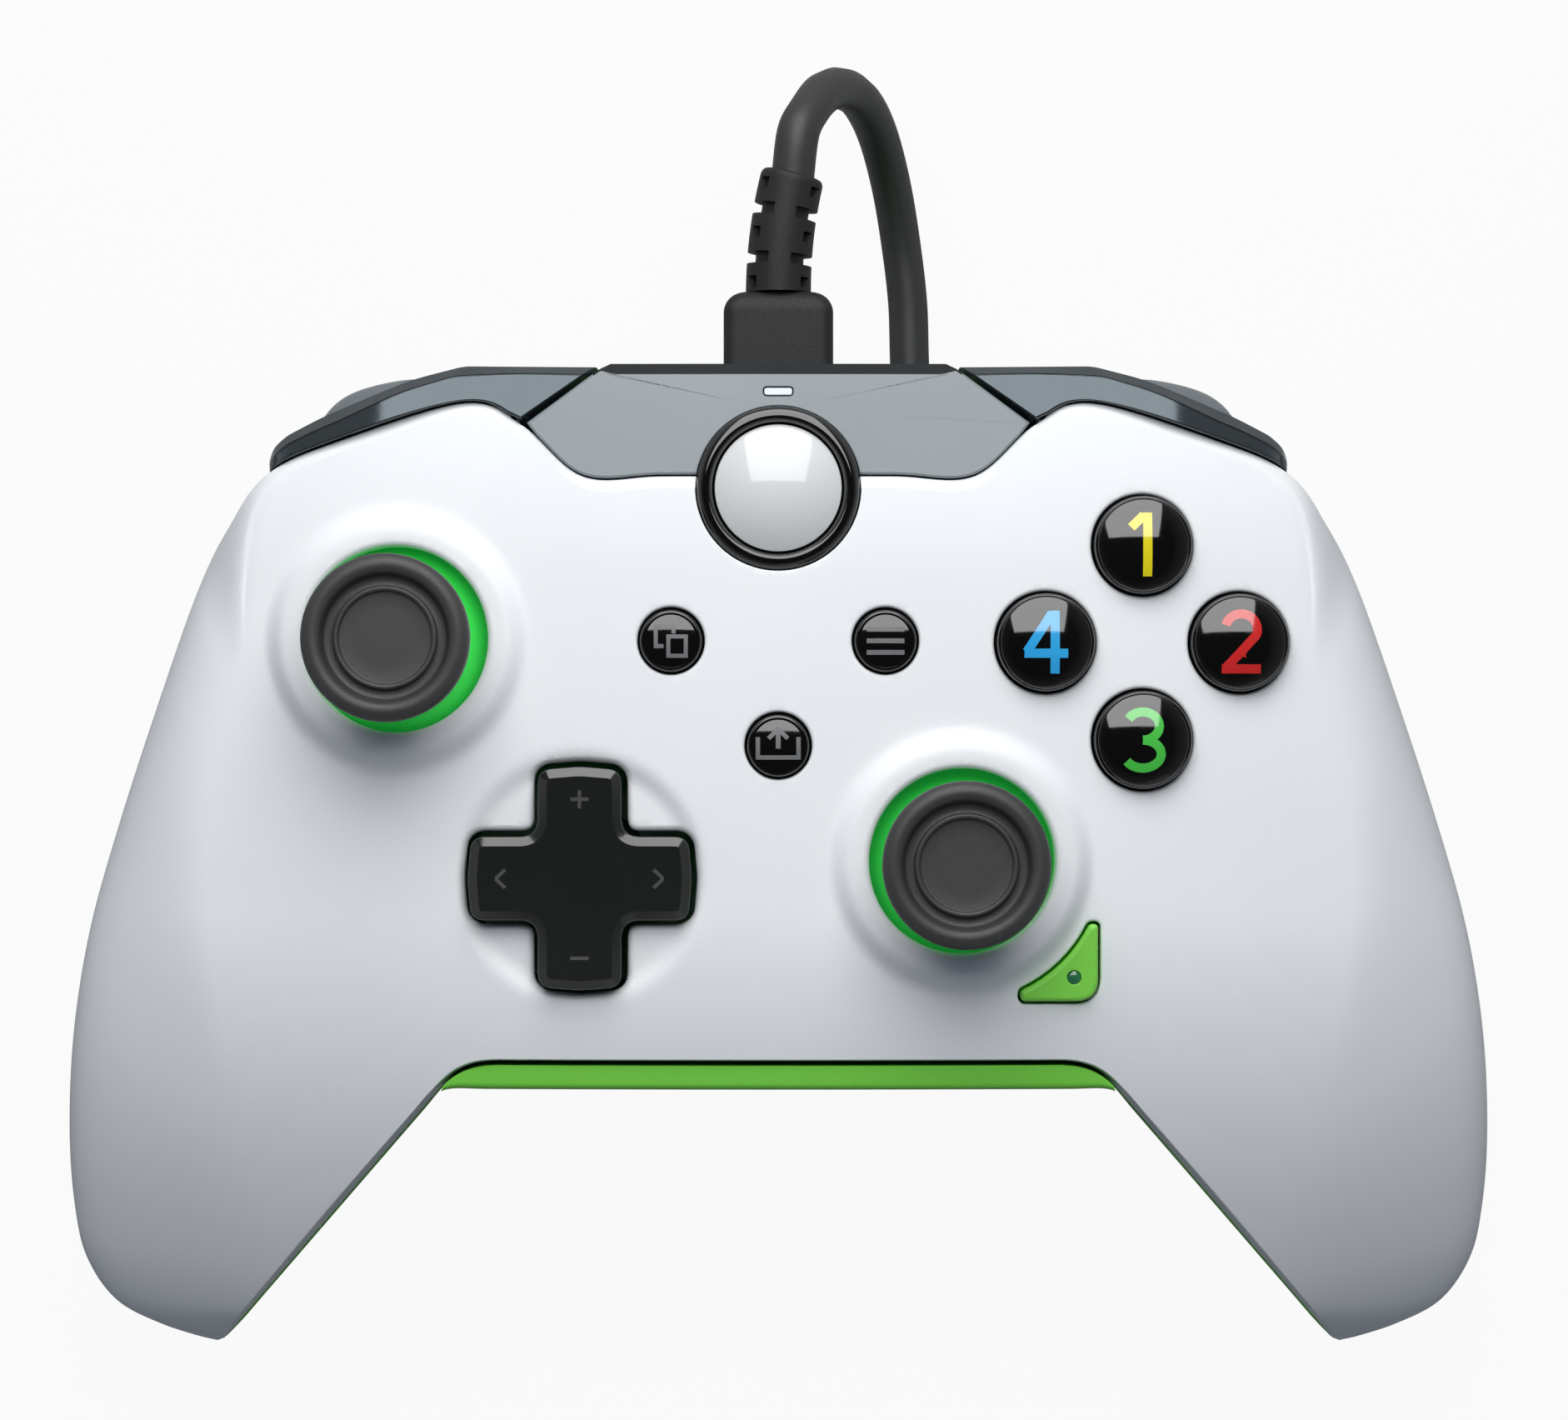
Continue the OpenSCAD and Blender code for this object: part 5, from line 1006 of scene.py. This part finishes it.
# green function button with a light near its corner: places as steps in from the corner, heights over the face
fnTall = {"top": 0.8, "skirt": 3.6, "rim": [(0, 0.42), (0.05, 0.58), (0.16, 0.72), (0.36, 0.8)], "middle": 2.2,
          "stemAt": 0.28 * fn["w"], "stem": (1.4, 34.3), "overlap": 0.1, "lightAt": 2.5, "hole": (0.72, 1.7, 0.1),
          "light": [(0, -0.8), (0.66, -0.8), (0.66, 0.68), (0.5, 0.78), (0, 0.82)]}


def inFromCorner(step):  # a point on the button's diagonal
    return fn["corner"][0] - step, fn["corner"][1] + step


stemAt, lightAt = inFromCorner(fnTall["stemAt"]), inFromCorner(fnTall["lightAt"])
fnZ = float(plainFace(*stemAt))


def fnTop(x, y):  # level
    return fnZ + fnTall["top"] + 0 * x


def fnPiece(c):  # the outline with a rounded edge and a level top, a hole for the light, a stem
    edge = [(0, fnZ - c["skirt"], False)] + [(inset, rise - c["top"], True) for inset, rise in c["rim"]]
    body = capFromOutline("functionButton", fnOutline(fn, 0.0), edge, fnTop, inFromCorner(c["middle"]), 12, 40)
    r, deep, soft = c["hole"]
    carve(body, [holeCutter(circle(r, lightAt, 48), fnTop, deep, soft)], 40)
    stem = rod("stem", *c["stem"], fnZ - c["skirt"] + c["overlap"], (*stemAt, 0), 32)
    return joinAll("functionButton", [body, stem])


seat(fnPiece(fnTall), "functionGreen", "function_button", "function_green", "function_button")
fnLens = lathe("functionLight", [(r, fnZ + h) for r, h in fnTall["light"]], (*lightAt, 0), 40)
seat(fnLens, "greenLens", "function_button", "light_lens", "function_light")

# thumb sticks: rimmed cap on a neck, over a green dome; rows of (radius, height over the underside or the top)
stick = {"top": 59.4, "low": 53.4, "neckLow": 44.4, "neck": 3.3, "bore": 1.66, "boreTop": 53.1, "pivot": 36.0,
         "skirt": 12.25, "thick": 1.0, "cut": 39.9, "neckGap": 0.05, "rim": (7.35, 1.2), "bead": (5.0, 0.3, -1.3),
         "under": [(3.3, -1.0), (3.5, -0.4), (4.1, 0), (6.6, 0.05), (7.4, 0.4), (8.0, 1.0), (8.35, 1.9), (8.5, 3.0)],
         "inRim": [(7.0, -0.04), (6.75, -0.2), (6.55, -0.48), (6.42, -0.85), (6.3, -1.22), (6.22, -1.42), (6.1, -1.5),
                   (5.5, -1.52), (5.32, -1.45)],
         "floor": [(4.66, -1.42), (4.5, -1.46), (3.0, -1.48), (0, -1.48)]}


def arcRows(r, z, radius, a0, a1, count):  # (radius, height) rows along an arc about (r, z)
    return [(r + radius * math.cos(a), z + radius * math.sin(a)) for a in np.linspace(a0, a1, count)]


def stickCapRows(c):  # from the bore out under the cap, round its rim, in over the bead to the middle
    t, b = c["top"], c["low"]
    (rimAt, rimR), (beadAt, beadR, beadZ) = c["rim"], c["bead"]
    rows = [(0, c["boreTop"]), (c["bore"], c["boreTop"]), (c["bore"], c["neckLow"]), (c["neck"], c["neckLow"])]
    rows += [(r, b + h) for r, h in c["under"]] + arcRows(rimAt, t - rimR, rimR, 0, math.pi / 2, 14)
    rows += [(r, t + h) for r, h in c["inRim"]] + arcRows(beadAt, t + beadZ, beadR, 0, math.pi, 12)
    return rows + [(r, t + h) for r, h in c["floor"]]


def skirtRows(c):  # outer dome from its cut edge up to the neck, inner dome back down
    low, neck, outR, inR = c["cut"] - c["pivot"], c["neck"] + c["neckGap"], c["skirt"], c["skirt"] - c["thick"]
    out = arcRows(0, c["pivot"], outR, math.asin(low / outR), math.acos(neck / outR), 32)
    return out + arcRows(0, c["pivot"], inR, math.acos(neck / inR), math.asin(low / inR), 24) + out[:1]


for tag, at in zip(("left", "right"), stickAt):
    body = tag + "_stick"
    cap = lathe(tag + "StickCap", stickCapRows(stick), (*at, 0), 128, "z", 40)
    seat(cap, "stickRubber", body, "stick_rubber", body + "_cap")
    # green dome under the cap; its finish carries a faint painted glow
    skirt = lathe(tag + "StickSkirt", skirtRows(stick), (*at, 0), 128, "z", 40)
    seat(skirt, "skirtGreen", body, "function_green", body + "_skirt")
print("pad, function button and sticks made")

# case screws with crossed recesses, seen from below
screw = {"low": 21.6, "long": 13.0, "point": 0.4, "slot": 0.7, "span": 2.9, "deep": 0.8, "shaft": 1.3,
         "head": [(0, 0), (1.7, 0), (2.2, 0.15), (2.5, 0.55), (2.5, 1.4), (1.3, 1.4)]}
z, w, h = screw["low"], screw["slot"] / 2, screw["span"] / 2
screwRows = [(r, z + up) for r, up in screw["head"]]
screwRows += [(screw["shaft"], z + screw["long"]), (0, z + screw["long"] + screw["point"])]
screws = []
for x, y in bossAt:
    recess = [boxSolid("recess", (x - i, y - j, z - 1), (x + i, y + j, z + screw["deep"]))
              for i, j in ((w, h), (h, w))]
    screws.append(carve(lathe("screw", screwRows, (x, y, 0), 40, "z", 30), recess, 30))
seat(joinAll("shellScrews", screws, 30), "steel", "case", "steel", "shell_screws")

# finishes of the pieces that stay as they are, inside the case
pairs = {"steel": ("stick_yoke", "stick_shaft", "rumble_motor", "rumble_weight"), "innerBlack": ("stick_housing",)}
inside = {"steel": ("bumper_pins", "trigger_pins", "trigger_springs", "dpad_rocker", "board_screws", "usb_socket"),
          "innerBlack": ("trigger_brackets", "tact_switches", "dpad_base", "headset_jack"),
          "padRubber": ("button_membrane", "dpad_membrane"), "board": ("main_board",), "greenCase": ("stick_sensors",)}
for key, names in inside.items():
    for name in names + tuple(side + part for side in ("left_", "right_") for part in pairs.get(key, ())):
        dress(nodes[name], key)
print("inner pieces dressed")


# stage: what the camera sees directly is white, what lights the piece isn't
def seenDirectly(tree):  # 1 for rays from the camera, also through clear pieces
    ray = addNode(tree, "LightPath").outputs
    return addNode(tree, "Math", None, {0: ray["Is Camera Ray"], 1: ray["Is Transmission Ray"]},
                   operation="MAXIMUM").outputs[0], ray["Is Glossy Ray"]


def blendShaders(tree, share, first, second):  # first at 0, second at 1
    return addNode(tree, "MixShader", None, {0: share, 1: first.outputs[0], 2: second.outputs[0]})


# pale floor that keeps a shadow
stage = {"half": 1.6, "level": -0.0002, "own": 0.94, "grey": (0.45, 0.45, 0.45, 1), "white": (1, 1, 1, 1)}
floorMesh = bpy.data.meshes.new("floor")
h, z = stage["half"], stage["level"]
floorMesh.from_pydata([(-h, -h, z), (h, -h, z), (h, h, z), (-h, h, z)], [], [(0, 1, 2, 3)])
floorMat = bpy.data.materials.new("paleFloor")
floorMat.use_nodes = True
tree = floorMat.node_tree
tree.nodes.clear()
diffuse = addNode(tree, "BsdfDiffuse", {"Color": stage["grey"]})
glow = addNode(tree, "Emission", {"Color": stage["white"]})
share = addNode(tree, "Math", {1: stage["own"]}, {0: seenDirectly(tree)[0]}, operation="MULTIPLY")
addNode(tree, "OutputMaterial", None, {0: blendShaders(tree, share.outputs[0], diffuse, glow).outputs[0]})
floorMesh.materials.append(floorMat)
place("floor", floorMesh)

# world: pale at the horizon and darker overhead in reflections, low fill for the rest
sky = {"fill": 0.13, "tint": (0.66, 0.8, 1, 1), "horizon": 0.8, "zenith": 0.03, "from": 0.1, "to": 0.85}
scene.world = bpy.data.worlds.new("studio")
scene.world.use_nodes = True
tree = scene.world.node_tree
tree.nodes.clear()
seen, glossy = seenDirectly(tree)
up = addNode(tree, "SeparateXYZ", None, {0: addNode(tree, "TexCoord").outputs["Generated"]}).outputs["Z"]
mirrored = rangeOf(tree, up, sky["horizon"], sky["zenith"], sky["from"], sky["to"])
fill = addNode(tree, "Background", {"Color": sky["tint"], "Strength": sky["fill"]})
mirror = addNode(tree, "Background", {"Color": stage["white"]}, {"Strength": mirrored})
white = addNode(tree, "Background", {"Color": stage["white"], "Strength": 1})
shown = blendShaders(tree, seen, blendShaders(tree, glossy, fill, mirror), white)
addNode(tree, "OutputWorld", None, {0: shown.outputs[0]})

# soft boxes: the main one close behind and above, a weak one from the front
lamps = {
    "rearBox": {"at": (0, 0.235, 0.295), "aim": (0, 0.02, 0.045), "size": (0.32, 0.37), "power": 1.62},
    "frontBox": {"at": (0.35, -0.9, 0.8), "aim": (0, 0, 0.03), "size": (0.7, 0.5), "power": 0.2},
}
for name, c in lamps.items():
    data = bpy.data.lights.new(name, "AREA")
    data.shape = "RECTANGLE"
    data.size, data.size_y = c["size"]
    data.energy = c["power"]
    lamp = place(name, data)
    lamp.visible_camera = False
    lamp.location = c["at"]
    way = np.array(c["aim"]) - np.array(c["at"])
    pitch = math.acos(-way[2] / np.linalg.norm(way))
    lamp.rotation_euler = (pitch, 0, math.atan2(way[1], way[0]) - math.pi / 2)
print("stage lit")
